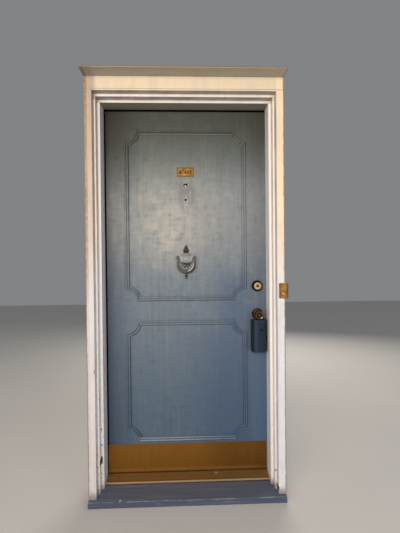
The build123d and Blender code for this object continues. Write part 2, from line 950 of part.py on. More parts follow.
def knocker_urn():
    """Half-round urn with finial, shoulders, dome, stem and foot, and the boss that the bail strikes."""
    flame = (urn_stem_radius, (urn_tip + urn_flame_foot) / 2)
    neck = urn_shoulder_level - urn_rim - urn_shoulder_radius + urn_neck_radius
    outline = Polyline((0, urn_foot), (0, urn_tip))
    outline += ThreePointArc((0, urn_tip), flame, (urn_flame_radius, urn_flame_foot))
    outline += Polyline(
        (urn_flame_radius, urn_flame_foot),
        (urn_waist_radius, urn_dish_level + urn_rim),
        (urn_dish_radius, urn_dish_level),
        (urn_dish_radius, urn_dish_level - urn_rim),
        (urn_stem_radius, urn_dish_level - urn_rim - urn_cove),
        (urn_stem_radius, urn_shoulder_level + urn_cove),
        (urn_shoulder_radius, urn_shoulder_level),
        (urn_shoulder_radius, urn_shoulder_level - urn_rim),
        (urn_neck_radius, neck),
    )
    outline += ThreePointArc(
        (urn_neck_radius, neck),
        (urn_dome_radius, urn_dome_level),
        (urn_shoulder_radius, urn_dome_bottom),
    )
    outline += Polyline(
        (urn_shoulder_radius, urn_dome_bottom),
        (urn_neck_radius, urn_dome_bottom - urn_rim),
        (urn_base_radius, urn_dome_bottom - urn_rim - urn_cove),
        (urn_stem_radius, urn_stem_top),
        (urn_stem_radius, urn_collar_level + urn_rim),
        (urn_collar_radius, urn_collar_level),
        (urn_collar_radius, urn_collar_level - urn_rim),
        (urn_waist_radius, urn_collar_level - 2 * urn_rim),
        (urn_stem_radius, urn_foot + urn_rim),
        (0, urn_foot),
    )
    section = Plane.XZ * make_face(outline)
    turning = revolve(section, axis=Axis((0, 0, 0), (0, 0, -1)), revolution_arc=180)
    relief = Pos(0, 0, upper_panel_bottom) * turning
    boss_z = upper_panel_bottom + bail_bottom + strike_boss_radius
    boss_face = -bail_stand + strike_boss_gap
    relief += rod_y(strike_boss_radius, boss_face + strike_boss_crown, 0, 0, boss_z)
    relief += rod_y(strike_boss_face_radius, boss_face, 0, 0, boss_z)
    for pin in knocker_pins():
        relief -= pin
    return relief


def knocker_pins():
    """Two headed pins that the bail's ears turn on."""
    z = upper_panel_bottom + bail_pivot_level
    tip = bail_half_width + bail_side_gap
    pin = rod_x(bail_pin_radius, urn_shoulder_radius - bail_pin_hold, tip, -bail_pivot_reach, z)
    pin += rod_x(bail_pin_head_radius, tip, tip + bail_pin_head, -bail_pivot_reach, z)
    return other_side(pin), pin


def knocker_bail():
    """Heavy stirrup, thickest at the bottom, that swings on its two ears."""
    low = upper_panel_bottom + bail_bottom
    pivot_z = upper_panel_bottom + bail_pivot_level
    outer = bail_half_width
    inner = outer - bail_arm
    outer_centre = low + outer
    inner_low = low + bail_arm + bail_belly
    inner_centre = inner_low + inner
    outline = Polyline((inner, inner_centre), (inner, pivot_z), (outer, pivot_z), (outer, outer_centre))
    outline += ThreePointArc((outer, outer_centre), (0, low), (-outer, outer_centre))
    outline += Polyline((-outer, outer_centre), (-outer, pivot_z), (-inner, pivot_z), (-inner, inner_centre))
    outline += ThreePointArc((-inner, inner_centre), (0, inner_low), (inner, inner_centre))
    front = -bail_stand - bail_thickness
    bail = extrude(Plane.XZ.offset(bail_stand) * make_face(outline), bail_thickness)
    bail = fillet(bail.edges().group_by(Axis.Y)[0] + bail.edges().group_by(Axis.Y)[-1], bail_edge_round)
    for near, far in ((inner, outer), (-outer, -inner)):
        bail += rod_x(bail_ear_radius, near, far, -bail_pivot_reach, pivot_z)
        bail -= block((near, 2 * front, pivot_z + bail_ear_radius), (far, 0, pivot_z + outer))
    return bail - rod_x(bail_pin_radius + hinge_fit, -outer, outer, -bail_pivot_reach, pivot_z)


# Key safe

def safe_top():
    return knob_z - safe_drop


def shackle_legs():
    return lock_x - shackle_bend_radius, lock_x + shackle_bend_radius


def safe_body():
    """Cast box with splayed front corners, a round cap on its front and sockets for the shackle."""
    back = -safe_door_gap
    front = back - safe_depth
    section = polygon(
        (safe_left, back),
        (safe_right, back),
        (safe_right, front + safe_front_chamfer),
        (safe_right - safe_side_chamfer, front),
        (safe_left + safe_side_chamfer, front),
        (safe_left, front + safe_front_chamfer),
    )
    body = along_z(section, safe_top() - safe_height, safe_top())
    body = fillet(body.edges().filter_by(Axis.Z).group_by(Axis.Y)[:-1], safe_corner_round)
    body = fillet(body.faces().sort_by(Axis.Z)[0].edges().group_by(Axis.Y)[:-1], safe_end_round)
    body = fillet(body.faces().sort_by(Axis.Z)[-1].edges().group_by(Axis.Y)[:-1], safe_end_round)
    dial_x = safe_x + safe_dial_side
    dial_z = safe_top() - safe_dial_drop
    body -= rod_y(safe_dial_radius, front, front + safe_dial_depth, dial_x, dial_z)
    radius = shackle_bar_radius + shackle_socket_gap
    for x in shackle_legs():
        body -= rod_z(radius, safe_top() - shackle_socket, safe_top(), x, -shackle_reach)
    return body


def safe_shackle():
    """Round bar bent over the neck of the knob."""
    bend_z = knob_z + knob_neck_radius + shackle_slack + shackle_bar_radius - shackle_bend_radius
    low = safe_top() - shackle_socket
    left, right = shackle_legs()
    ring = Rot(90, 0, 0) * Torus(shackle_bend_radius, shackle_bar_radius)
    ring = Pos(lock_x, -shackle_reach, bend_z) * ring
    bow = split(ring, bisect_by=Plane(origin=(0, 0, bend_z), z_dir=(0, 0, 1)), keep=Keep.TOP)
    for x in (left, right):
        bow += rod_z(shackle_bar_radius, low, bend_z, x, -shackle_reach)
    return bow


# Bell push

def bell_button_place():
    right = frame_x + bell_plate_overhang
    return right - bell_plate_width + bell_button_inset, door_bottom + bell_button_level


def bell_plate():
    right = frame_x + bell_plate_overhang
    low = door_bottom + bell_plate_bottom
    front = casing_front - bell_plate_thickness
    plate = block((right - bell_plate_width, front, low), (right, casing_front, low + bell_plate_height))
    plate = fillet(plate.edges().filter_by(Axis.Y), bell_plate_corner_round)
    plate = fillet(plate.faces().sort_by(Axis.Y)[0].edges(), bell_plate_round)
    x, z = bell_button_place()
    plate -= rod_y(bell_button_radius + bell_button_gap, front, casing_front, x, z)
    pocket = bell_flange_radius + bell_button_gap
    return plate - rod_y(pocket, casing_front - bell_pocket_depth, casing_front, x, z)


def bell_button():
    x, z = bell_button_place()
    tip = casing_front - bell_plate_thickness - bell_button_stand
    flange_low = casing_front - bell_pocket_depth + bell_button_gap
    button = rod_y(bell_button_radius, tip, flange_low, x, z)
    button = fillet(button.edges().group_by(Axis.Y)[0], bell_button_round)
    return button + rod_y(bell_flange_radius, flange_low, flange_low + bell_flange_thickness, x, z)


# Planted mouldings

def moulding_profile():
    """Two reeds with a valley between: distance from the outer edge against height."""
    edge = moulding_edge_height
    valley_low = (moulding_width - moulding_valley_width) / 2
    valley_high = (moulding_width + moulding_valley_width) / 2
    outline = Polyline((moulding_width, edge), (moulding_width, 0), (0, 0), (0, edge))
    outline += ThreePointArc((0, edge), (valley_low / 2, moulding_height), (valley_low, edge))
    outline += Line((valley_low, edge), (valley_high, edge))
    middle = (valley_high + moulding_width) / 2
    outline += ThreePointArc((valley_high, edge), (middle, moulding_height), (moulding_width, edge))
    return make_face(outline)


def panel_moulding(low, high):
    """Mitred lengths and scooped corners of the moulding round one panel."""
    mid_plane = Plane(origin=(0, 0, (low + high) / 2), z_dir=(0, 0, 1))
    inner_radius = scoop_radius + moulding_width
    lead = math.sqrt(inner_radius ** 2 - moulding_width ** 2) - scoop_radius
    head_mitre = Plane(
        origin=(-panel_half_width + scoop_radius, 0, high),
        x_dir=(0, 1, 0),
        z_dir=(moulding_width, 0, lead),
    )
    side_mitre = Plane(
        origin=(-panel_half_width, 0, high - scoop_radius),
        x_dir=(0, 1, 0),
        z_dir=(-lead, 0, -moulding_width),
    )
    profile = moulding_profile()
    head_start = Plane(origin=(panel_half_width, 0, high), x_dir=(0, 0, -1), z_dir=(-1, 0, 0))
    head = extrude(head_start * profile, 2 * panel_half_width)
    head = split(head, bisect_by=head_mitre, keep=Keep.TOP)
    head = split(other_side(head), bisect_by=head_mitre, keep=Keep.TOP)
    side_start = Plane(origin=(-panel_half_width, 0, high), x_dir=(1, 0, 0), z_dir=(0, 0, -1))
    side = extrude(side_start * profile, high - low)
    side = split(side, bisect_by=side_mitre, keep=Keep.TOP)
    side = split(mirror(side, about=mid_plane), bisect_by=side_mitre, keep=Keep.TOP)
    corner_start = Plane(
        origin=(-panel_half_width + scoop_radius, 0, high),
        x_dir=(1, 0, 0),
        z_dir=(0, 0, -1),
    )
    pivot = Axis((-panel_half_width, 0, high), (0, 1, 0))
    corner = revolve(corner_start * profile, axis=pivot, revolution_arc=90)
    corner = split(corner, bisect_by=head_mitre, keep=Keep.BOTTOM)
    corner = split(corner, bisect_by=side_mitre, keep=Keep.BOTTOM)
    lengths = [head, mirror(head, about=mid_plane), side, other_side(side)]
    upper_corners = [corner, other_side(corner)]
    corners = upper_corners + [mirror(piece, about=mid_plane) for piece in upper_corners]
    return group(lengths), group(corners)


# Door slab and its plates

def kickplate():
    low = door_bottom + kickplate_lift
    half = stop_x - kickplate_side_gap
    return block((-half, -plate_thickness, low), (half, 0, low + kickplate_height))


def nameplate():
    half_w = nameplate_width / 2
    low = nameplate_z - nameplate_height / 2
    plate = block((-half_w, -plate_thickness, low), (half_w, 0, low + nameplate_height))
    return chamfer(plate.faces().sort_by(Axis.Y)[0].edges(), nameplate_bevel)


def door_slab(screws):
    slab = block((-half_door, 0, door_bottom), (half_door, door_thickness, door_top))
    slab -= rod_y(viewer_radius, 0, door_thickness, 0, viewer_z)
    slab -= rod_y(old_hole_radius, 0, old_hole_depth, 0, old_hole_z)
    half_y = faceplate_width / 2
    half_z = faceplate_height / 2
    for level in (knob_z, deadbolt_z):
        slab -= rod_y(cross_bore_radius, 0, door_thickness, lock_x, level)
        slab -= rod_x(edge_bore_radius, lock_x, half_door, lock_y, level)
        low = (half_door - faceplate_thickness, lock_y - half_y, level - half_z)
        high = (half_door, lock_y + half_y, level + half_z)
        slab -= block(low, high)
    for level in hinge_levels.values():
        slab -= leaf_plate(*door_leaf_x, level)
    for screw in screws:
        slab -= screw
    return slab


def build_nodes():
    """Every sub-part by name."""
    nodes = {}
    frame_hinge_screws = hinge_screws(-rabbet_x, -1)
    door_hinge_screws = hinge_screws(-half_door, 1)
    frame_screws = frame_hinge_screws + strike_screws()
    door_screws = door_hinge_screws + faceplate_screws()

    jamb = side_jamb()
    for hole in wall_screw_holes():
        jamb -= hole
    hinge_jamb = other_side(jamb)
    for level in hinge_levels.values():
        hinge_jamb -= leaf_plate(*frame_leaf_x, level)
    for screw in frame_hinge_screws:
        hinge_jamb -= screw
    lock_jamb = jamb
    for level, lip in ((knob_z, True), (deadbolt_z, False)):
        lock_jamb -= strike_pocket(level)
        lock_jamb -= strike_outline(level, lip)
    for screw in strike_screws():
        lock_jamb -= screw
    nodes["jamb_hinge_side"] = hinge_jamb
    nodes["jamb_lock_side"] = lock_jamb
    nodes["jamb_head"] = head_jamb()
    nodes["door_stops"] = group(door_stops())
    steps = step_mouldings()
    for name, step in zip(("left", "right", "head"), steps):
        nodes["step_moulding_" + name] = step
    casing = side_casing()
    nodes["casing_left"] = other_side(casing)
    nodes["casing_right"] = casing - bell_wire_hole()
    nodes["casing_head_band"], nodes["head_board"], nodes["head_cap"] = head_trim()
    nodes["sill"] = sill()
    nodes["threshold"] = threshold()
    nodes["threshold_gasket"] = threshold_gasket()
    nodes["weatherstrips"] = group(weatherstrips())
    nodes["latch_strike"] = strike(knob_z, True)
    nodes["deadbolt_strike"] = strike(deadbolt_z, False)
    for screw in strike_screws():
        nodes["latch_strike"] -= screw
        nodes["deadbolt_strike"] -= screw
    for name, level in hinge_levels.items():
        frame_leaf = hinge_leaf(*frame_leaf_x, level, 0, hinge_pin_radius)
        door_leaf = hinge_leaf(*door_leaf_x, level, 1, hinge_pin_radius + hinge_fit)
        for screw in frame_hinge_screws:
            frame_leaf -= screw
        for screw in door_hinge_screws:
            door_leaf -= screw
        nodes["hinge_frame_leaf_" + name] = frame_leaf
        nodes["hinge_door_leaf_" + name] = door_leaf
    nodes["hinge_pins"] = group(hinge_pin(level) for level in hinge_levels.values())
    nodes["frame_screws"] = group(frame_screws)
    nodes["bell_plate"] = bell_plate()
    nodes["bell_button"] = bell_button()

    nodes["door_slab"] = door_slab(door_screws)
    upper = panel_moulding(upper_panel_bottom, upper_panel_top)
    lower = panel_moulding(door_bottom + lower_panel_bottom, lower_panel_top)
    nodes["upper_moulding_lengths"], nodes["upper_moulding_corners"] = upper
    nodes["lower_moulding_lengths"], nodes["lower_moulding_corners"] = lower
    nodes["kickplate"] = kickplate()
    nodes["nameplate"] = nameplate()
    nodes["viewer_barrel"] = viewer_barrel()
    nodes["viewer_lens"] = viewer_lens()
    nodes["knocker_urn"] = knocker_urn()
    nodes["knocker_pins"] = group(knocker_pins())
    nodes["knocker_bail"] = knocker_bail()
    nodes["door_screws"] = group(door_screws)

    nodes["deadbolt_collar"] = deadbolt_collar()
    nodes["deadbolt_cylinder"] = deadbolt_cylinder()
    nodes["deadbolt_key_plug"] = deadbolt_key_plug()
    nodes["deadbolt_tailpiece"] = deadbolt_tailpiece()
    nodes["thumbturn_rose"] = thumbturn_rose()
    nodes["thumbturn"] = thumbturn()
    nodes["deadbolt_case"] = bolt_case(deadbolt_z)
    nodes["deadbolt_bolt"] = deadbolt_bolt()
    nodes["knob_rose_outer"] = rose()
    nodes["knob_rose_inner"] = to_room_side(rose())
    nodes["knob_outer"] = knob_outer()
    nodes["knob_inner"] = to_room_side(knob_blank())
    nodes["knob_spindle"] = knob_spindle()
    nodes["knob_key_plug"] = keyed_plug(knob_plug_radius, knob_plug_face(), knob_plug_length, knob_z)
    nodes["latch_case"] = bolt_case(knob_z)
    nodes["latch_bolt"] = latch_bolt()
    for screw in faceplate_screws():
        nodes["latch_case"] -= screw
        nodes["deadbolt_case"] -= screw
    nodes["key_safe_body"] = safe_body()
    nodes["key_safe_shackle"] = safe_shackle()
    return nodes


os.makedirs("parts", exist_ok=True)
for node, shape in build_nodes().items():
    export_step(shape, "parts/" + node + ".step")
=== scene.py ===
"""Looks of a panelled front door in its frame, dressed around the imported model.

Everything is in metres, +Z up, with the street side towards -Y.
Display colours are written as seen on a screen, 0 to 255, and turned into light by seen().
"""

import json
import math

import bmesh
import bpy
from mathutils import Matrix, Vector


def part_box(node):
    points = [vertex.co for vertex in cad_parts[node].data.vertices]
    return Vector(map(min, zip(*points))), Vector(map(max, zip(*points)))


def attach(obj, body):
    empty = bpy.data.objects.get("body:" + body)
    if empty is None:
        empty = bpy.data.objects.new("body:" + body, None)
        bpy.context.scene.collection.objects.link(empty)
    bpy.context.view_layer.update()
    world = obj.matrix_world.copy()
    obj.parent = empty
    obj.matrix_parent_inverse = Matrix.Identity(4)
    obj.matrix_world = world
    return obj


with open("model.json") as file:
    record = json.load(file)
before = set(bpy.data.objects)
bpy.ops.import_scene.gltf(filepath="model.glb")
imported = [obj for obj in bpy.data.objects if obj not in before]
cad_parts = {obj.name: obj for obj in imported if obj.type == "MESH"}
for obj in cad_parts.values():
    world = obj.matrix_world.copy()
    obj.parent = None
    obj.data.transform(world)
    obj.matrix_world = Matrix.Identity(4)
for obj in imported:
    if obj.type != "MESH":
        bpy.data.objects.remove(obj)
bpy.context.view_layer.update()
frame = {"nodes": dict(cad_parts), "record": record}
nodes = frame["nodes"]


def low(node):
    """Lowest corner of a CAD node."""
    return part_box(node)[0]


def high(node):
    """Highest corner of a CAD node."""
    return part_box(node)[1]


def centre(node):
    """Middle of a CAD node's box."""
    return (Vector(low(node)) + Vector(high(node))) / 2


# Places read off the CAD model
stop_points = [vertex.co for vertex in nodes["door_stops"].data.vertices]
stop_x = min(abs(point.x) for point in stop_points)
stop_z = sorted({round(point.z, 4) for point in stop_points})[-2]
step_x = low("step_moulding_right").x
step_z = low("step_moulding_head").z
casing_x = low("casing_right").x
casing_z = low("casing_head_band").z
cap_z = low("head_cap").z
viewer = centre("viewer_barrel")
knob = centre("knob_outer")
deadbolt = centre("deadbolt_collar")
urn = centre("knocker_urn")
old_hole_drop = 0.080
moulding_valley = 0.0035
reed_pitch = 0.012

# Camera of the photograph, fitted to the edges of the frame, the door and the sill.
camera_place = Vector((0.0051, -2.0229, 1.2462))
camera_yaw = math.radians(2.031)
camera_pitch = math.radians(-0.669)
camera_roll = math.radians(-0.547)
camera_sensor = 36
camera_lens = 24.42

# Stage
floor_half = 9
floor_drop = 0.001
floor_seen = (206, 204, 200)
floor_light_seen = (214, 212, 208)
world_seen = (206, 209, 214)
world_strength = 0.36


def seen(red, green, blue):
    """A display colour as linear light, with full alpha."""
    channels = []
    for value in (red, green, blue):
        share = value / 255
        if share <= 0.04045:
            channels.append(share / 12.92)
        else:
            channels.append(((share + 0.055) / 1.055) ** 2.4)
    return (*channels, 1)


class Finish:
    """One procedural material.

    Its textures are laid out in the row frame, so they stay put on a moving piece.
    """

    def __init__(self, name, metallic=0.0, specular=0.5):
        self.material = bpy.data.materials.new(name)
        self.material.use_nodes = True
        self.tree = self.material.node_tree
        self.shader = self.tree.nodes["Principled BSDF"]
        self.shader.inputs["Metallic"].default_value = metallic
        self.shader.inputs["Specular IOR Level"].default_value = specular
        coordinates = self.tree.nodes.new("ShaderNodeTexCoord").outputs
        self.place = coordinates["Object"]
        self.x, self.y, self.z = self.split(self.place)
        self.facing_x, self.facing_y, self.facing_z = self.split(coordinates["Normal"])
        self.beside = self.maths("ABSOLUTE", self.x)

    def split(self, vector):
        node = self.tree.nodes.new("ShaderNodeSeparateXYZ")
        self.tree.links.new(vector, node.inputs[0])
        return node.outputs

    def feed(self, socket, value):
        if isinstance(value, bpy.types.NodeSocket):
            self.tree.links.new(value, socket)
        else:
            socket.default_value = value

    def maths(self, operation, first, second=0.0):
        node = self.tree.nodes.new("ShaderNodeMath")
        node.operation = operation
        self.feed(node.inputs[0], first)
        self.feed(node.inputs[1], second)
        return node.outputs[0]

    def times(self, product, *factors):
        for factor in factors:
            product = self.maths("MULTIPLY", product, factor)
        return product

    def plus(self, first, second):
        return self.maths("ADD", first, second)

    def less(self, first, second):
        return self.maths("SUBTRACT", first, second)

    def either(self, most, *masks):
        for mask in masks:
            most = self.maths("MAXIMUM", most, mask)
        return most

    def step(self, value, start, end, first=0.0, last=1.0):
        """A smooth climb from first to last as value goes from start to end."""
        node = self.tree.nodes.new("ShaderNodeMapRange")
        node.interpolation_type = "SMOOTHSTEP"
        self.feed(node.inputs["Value"], value)
        ends = {"From Min": start, "From Max": end, "To Min": first, "To Max": last}
        for name, number in ends.items():
            node.inputs[name].default_value = number
        return node.outputs["Result"]

    def noise(self, size, detail=4, roughness=0.6, move=0):
        """Cloudy noise whose features are about size long, in metres along x, y and z."""
        mapping = self.tree.nodes.new("ShaderNodeMapping")
        self.tree.links.new(self.place, mapping.inputs["Vector"])
        mapping.inputs["Scale"].default_value = [1 / length for length in size]
        mapping.inputs["Location"].default_value = (move, move, move)
        node = self.tree.nodes.new("ShaderNodeTexNoise")
        node.inputs["Scale"].default_value = 1
        node.inputs["Detail"].default_value = detail
        node.inputs["Roughness"].default_value = roughness
        self.tree.links.new(mapping.outputs[0], node.inputs["Vector"])
        return node.outputs[0]

    def line(self, coordinate, value, width):
        """1 where the coordinate is at value, fading to 0 at width from it."""
        away = self.maths("ABSOLUTE", self.less(coordinate, value))
        return self.step(away, 0, width, 1, 0)

    def band(self, coordinate, start, end, soft):
        """1 from start to end, fading to 0 over soft outside them."""
        after_start = self.step(coordinate, start - soft, start)
        before_end = self.step(coordinate, end + soft, end)
        return self.times(after_start, before_end)

    def distance(self, middle, reach=(1.0, 1.0)):
        """Distance from a point (x, z) seen from the street, each direction measured in its reach."""
        across = self.maths("DIVIDE", self.less(self.x, middle[0]), reach[0])
        up = self.maths("DIVIDE", self.less(self.z, middle[1]), reach[1])
        return self.maths("SQRT", self.plus(self.times(across, across), self.times(up, up)))

    def spot(self, middle, reach, core=0.55):
        """1 inside an ellipse seen from the street, middle (x, z) and reach (x, z), with a soft rim."""
        return self.step(self.distance(middle, reach), core, 1, 1, 0)

    def blend(self, share, under, over):
        """Colour under where share is 0 and over where it is 1. A tuple is a display colour."""
        node = self.tree.nodes.new("ShaderNodeMix")
        node.data_type = "RGBA"
        self.feed(node.inputs["Factor"], share)
        for name, colour in (("A", under), ("B", over)):
            light = seen(*colour) if isinstance(colour, tuple) else colour
            self.feed(node.inputs[name], light)
        return node.outputs["Result"]

    def colour(self, value):
        self.feed(self.shader.inputs["Base Color"], value)

    def roughness(self, value):
        self.feed(self.shader.inputs["Roughness"], value)

    def relief(self, height, depth, strength=0.5):
        """Bumps as high as depth, in metres, where height goes from 0 to 1."""
        node = self.tree.nodes.new("ShaderNodeBump")
        node.inputs["Strength"].default_value = strength
        node.inputs["Distance"].default_value = depth
        self.feed(node.inputs["Height"], height)
        self.tree.links.new(node.outputs[0], self.shader.inputs["Normal"])

    def complete(self, colour, cloud, first, last, depth, strength=0.5):
        """Sets the colour and lets roughness, from first to last, and bumps follow a cloud."""
        self.colour(colour)
        self.roughness(self.step(cloud, 0.3, 0.7, first, last))
        self.relief(cloud, depth, strength)
        return self.material


# Paint of the door

# Painted light and shade up the door: bluer at the foot, lighter in the middle and dark under the porch
# roof at its head.
door_foot_seen = (80, 100, 117)
door_painted_light_climbs = (
    (0.35, 1.00, (104, 119, 131)),
    (1.05, 1.50, (135, 142, 142)),
    (1.60, 1.88, (100, 108, 106)),
    (1.80, 2.06, (72, 75, 70)),
)
door_faded_and_lit_seen = (184, 180, 174)
door_highlight_core_seen = (196, 186, 176)
door_dark_and_shade_seen = (46, 65, 89)
door_shade_high_seen = (36, 38, 35)
door_shade_seen = (44, 72, 108)
door_blue_shade_seen = (78, 108, 144)
door_ledge_lit_seen = (158, 166, 176)
door_gap_shade_seen = (9, 9, 10)
door_below_plate_shade_seen = (92, 68, 26)
door_room_seen = (112, 122, 132)
door_room_dark_seen = (92, 103, 115)
ghost_light_seen = (188, 190, 190)
ghost_dark_seen = (112, 117, 120)
reed_seam = 0.0005


def moulding_turn(paint):
    """How far a reed of the panel mouldings is turned from the light, which comes from the left.

    High on the door it also comes from below, lower down from above.
    The right reed of an upright length and the lower reed of a lying length show the turn most.
    """
    seam_x = high("upper_moulding_lengths").x - reed_pitch
    across = paint.less(paint.x, paint.times(paint.maths("SIGN", paint.x), seam_x))
    right_reed = paint.step(across, -reed_seam, reed_seam, 0.35, 1)
    turned = paint.times(paint.facing_x, right_reed)
    from_below = paint.step(paint.z, 1.5, 1.8, -1, 1)
    for node in ("upper_moulding_lengths", "lower_moulding_lengths"):
        seam_z = (high(node).z - low(node).z) / 2 - reed_pitch
        height = paint.less(paint.z, centre(node).z)
        above = paint.less(height, paint.times(paint.maths("SIGN", height), seam_z))
        lower_reed = paint.step(above, reed_seam, -reed_seam, 0.15, 1)
        here = paint.band(paint.z, low(node).z, high(node).z, 0.001)
        turned = paint.plus(turned, paint.times(paint.facing_z, from_below, lower_reed, here))
    return turned


def door_wear_and_sheen(paint, base, mottle, streak):
    """Adds a painted highlight, a pale mottled patch with a brighter core, and the mottle and brush
    streaks, whose pale parts are partly the paint's own and partly painted sheen.
    """
    # Painted highlight: a pale mottled patch with a brighter core.
    patch = paint.spot((-0.075, 1.42), (0.23, 0.31), 0.2)
    worn = paint.times(patch, paint.step(mottle, 0.36, 0.62, 0.3, 1), 0.44)
    base = paint.blend(worn, base, door_faded_and_lit_seen)
    highlight_core = paint.spot((-0.092, 1.385), (0.065, 0.085), 0.2)
    base = paint.blend(paint.times(highlight_core, 0.32), base, door_highlight_core_seen)
    # Pale mottle and streaks, partly the paint's own and partly painted sheen, fainter under the roof
    # and near the foot.
    high_share = paint.step(paint.z, 1.6, 1.9, 0.3, 0.06)
    low_share = paint.step(paint.z, 0.7, 1.2, 0.32, 1)
    light_share = paint.times(high_share, low_share)
    pale_mottle = paint.times(paint.step(mottle, 0.5, 0.72), light_share)
    base = paint.blend(pale_mottle, base, door_faded_and_lit_seen)
    base = paint.blend(paint.step(mottle, 0.5, 0.3, 0, 0.34), base, door_dark_and_shade_seen)
    pale_streak = paint.times(paint.step(streak, 0.52, 0.8), light_share)
    base = paint.blend(pale_streak, base, door_faded_and_lit_seen)
    return paint.blend(paint.step(streak, 0.48, 0.22, 0, 0.24), base, door_dark_and_shade_seen)


def door_mouldings(paint, base):
    """Adds painted shade in the valleys of the mouldings, painted light and shade on their reeds, and
    painted light on the upward faces of the lowest length.
    """
    # Painted shade in the valleys between the reeds.
    valley = paint.band(paint.y, -moulding_valley - 0.0004, -0.0008, 0.0004)
    base = paint.blend(paint.times(valley, 0.15), base, door_gap_shade_seen)
    moulded = paint.step(paint.y, -0.0006, -0.0010)
    turned = moulding_turn(paint)
    dark = paint.times(paint.step(turned, 0.05, 0.6, 0, 0.62), moulded)
    base = paint.blend(dark, base, door_gap_shade_seen)
    lit_share = paint.step(paint.z, 1.5, 1.8, 0.2, 0.28)
    lit = paint.times(paint.step(turned, -0.1, -0.6), lit_share, moulded)
    base = paint.blend(lit, base, door_faded_and_lit_seen)
    foot = low("lower_moulding_lengths").z
    lowest = paint.step(paint.z, foot + 0.030, foot + 0.026)
    # Painted light on the upward faces of the bottom length of the lower moulding.
    upward = paint.step(paint.facing_z, -0.2, 0.3, 0, 0.5)
    return paint.blend(paint.times(upward, lowest, moulded), base, door_ledge_lit_seen)


def door_side_shade(paint, base):
    """Adds painted shade down the left side, and bluer painted shade down the right side, darkest by the
    knob and below.
    """
    # Painted shade down the left side, deepest at the upper left.
    wide = paint.step(paint.x, -0.24, -0.43, 0, 0.50)
    rim = paint.step(paint.x, -0.39, -0.44, 0, 0.22)
    upper = paint.times(paint.step(paint.x, -0.18, -0.40), paint.step(paint.z, 1.3, 1.7, 0, 0.6))
    left = paint.either(paint.plus(wide, rim), upper)
    left_tone = paint.blend(paint.step(paint.z, 1.55, 1.9), door_dark_and_shade_seen, door_shade_high_seen)
    base = paint.blend(left, base, left_tone)

    # Painted shade down the right side, deepest by the knob and below.
    wide = paint.step(paint.x, 0.10, 0.27, 0, 0.15)
    rim = paint.step(paint.x, 0.30, 0.43, 0, 0.20)
    by_knob = paint.times(
        paint.step(paint.x, 0.08, 0.27, 0, 0.50),
        paint.band(paint.z, 0.88, 1.12, 0.16),
    )
    lower = paint.times(paint.step(paint.x, -0.08, 0.26), paint.step(paint.z, 1.0, 0.8, 0, 0.50))
    shaded = paint.times(paint.either(by_knob, lower), paint.step(paint.x, 0.28, 0.42, 1, 0.6))
    right = paint.either(paint.plus(wide, rim), shaded)
    right_tone = paint.blend(paint.step(paint.z, 1.65, 1.95), door_shade_seen, door_shade_high_seen)
    base = paint.blend(right, base, right_tone)
    # Bluer painted shade at the lower right.
    blue = paint.times(paint.step(paint.x, 0.33, 0.41), paint.step(paint.z, 1.0, 0.5, 0, 0.45))
    return paint.blend(blue, base, door_blue_shade_seen)


def door_ghost(paint, base, wisp):
    """Adds the ghost of an old plate round the viewer and the old bolt hole."""
    hole_z = viewer.z - old_hole_drop
    plate = paint.spot((0.006, (viewer.z + hole_z) / 2 - 0.012), (0.062, 0.090), 0.6)
    plate = paint.times(plate, paint.step(wisp, 0.3, 0.6, 0.35, 0.85))
    base = paint.blend(plate, base, ghost_dark_seen)
    marks = paint.spot((0.002, hole_z - 0.020), (0.022, 0.052), 0.5)
    beside_hole = paint.band(paint.z, hole_z - 0.05, hole_z + 0.05, 0.01)
    dashes = paint.times(paint.line(paint.x, 0.026, 0.007), beside_hole)
    marks = paint.either(marks, dashes)
    for level, radius in ((viewer.z, 0.0150), (hole_z, 0.0095)):
        ring = paint.line(paint.distance((0.001, level)), radius, 0.005)
        marks = paint.either(marks, ring)
    speckle = paint.step(paint.noise((0.006, 0.006, 0.012), 3, 0.7), 0.44, 0.6)
    return paint.blend(paint.times(marks, speckle, 0.6), base, ghost_light_seen)


def door_paint():
    """Blue-grey satin paint, streaked and mottled on the street side, with painted light and shade, a
    painted highlight patch and a painted shadow along the frame, and plainer on the room side.
    """
    paint = Finish("door_paint")
    base = door_foot_seen
    for start, end, tone in door_painted_light_climbs:
        base = paint.blend(paint.step(paint.z, start, end), base, tone)
    streak = paint.noise((0.020, 0.020, 0.5))
    wisp = paint.noise((0.035, 0.035, 0.075), 5, 0.7, 11)
    strokes = paint.noise((0.07, 0.07, 0.022), 4, 0.6, 7)
    mottle = paint.plus(paint.times(wisp, 0.6), paint.times(strokes, 0.4))
    base = door_wear_and_sheen(paint, base, mottle, streak)
    base = door_mouldings(paint, base)
    base = door_side_shade(paint, base)
    base = door_ghost(paint, base, wisp)

    street = paint.step(paint.y, 0.006, 0.003)
    # Painted shadow along the left side and the head, where the frame meets the door.
    side_gap_shade = paint.step(paint.x, -stop_x + 0.0105, -stop_x + 0.0070)
    head_gap_shade = paint.step(paint.z, stop_z - 0.012, stop_z - 0.008)
    gap_shade = paint.times(paint.either(side_gap_shade, head_gap_shade), street)
    base = paint.blend(gap_shade, base, door_gap_shade_seen)
    # Painted shade on the strip of door below the kickplate.
    plate_foot = low("kickplate").z
    below_plate = paint.step(paint.z, plate_foot + 0.001, plate_foot)
    base = paint.blend(below_plate, base, door_below_plate_shade_seen)
    room = paint.blend(paint.step(mottle, 0.35, 0.65), door_room_dark_seen, door_room_seen)
    paint.colour(paint.blend(street, room, base))
    satin = paint.step(mottle, 0.35, 0.65, 0.5, 0.34)
    paint.roughness(paint.plus(satin, paint.times(streak, 0.08)))
    shine = paint.times(paint.step(paint.z, 1.45, 1.9, 0.5, 0.12), paint.step(gap_shade, 0, 1, 1, 0))
    paint.feed(paint.shader.inputs["Specular IOR Level"], shine)
    height = paint.plus(paint.times(streak, 0.7), paint.times(mottle, 0.6))
    paint.relief(height, 0.0008)
    return paint.material


# Paint of the frame

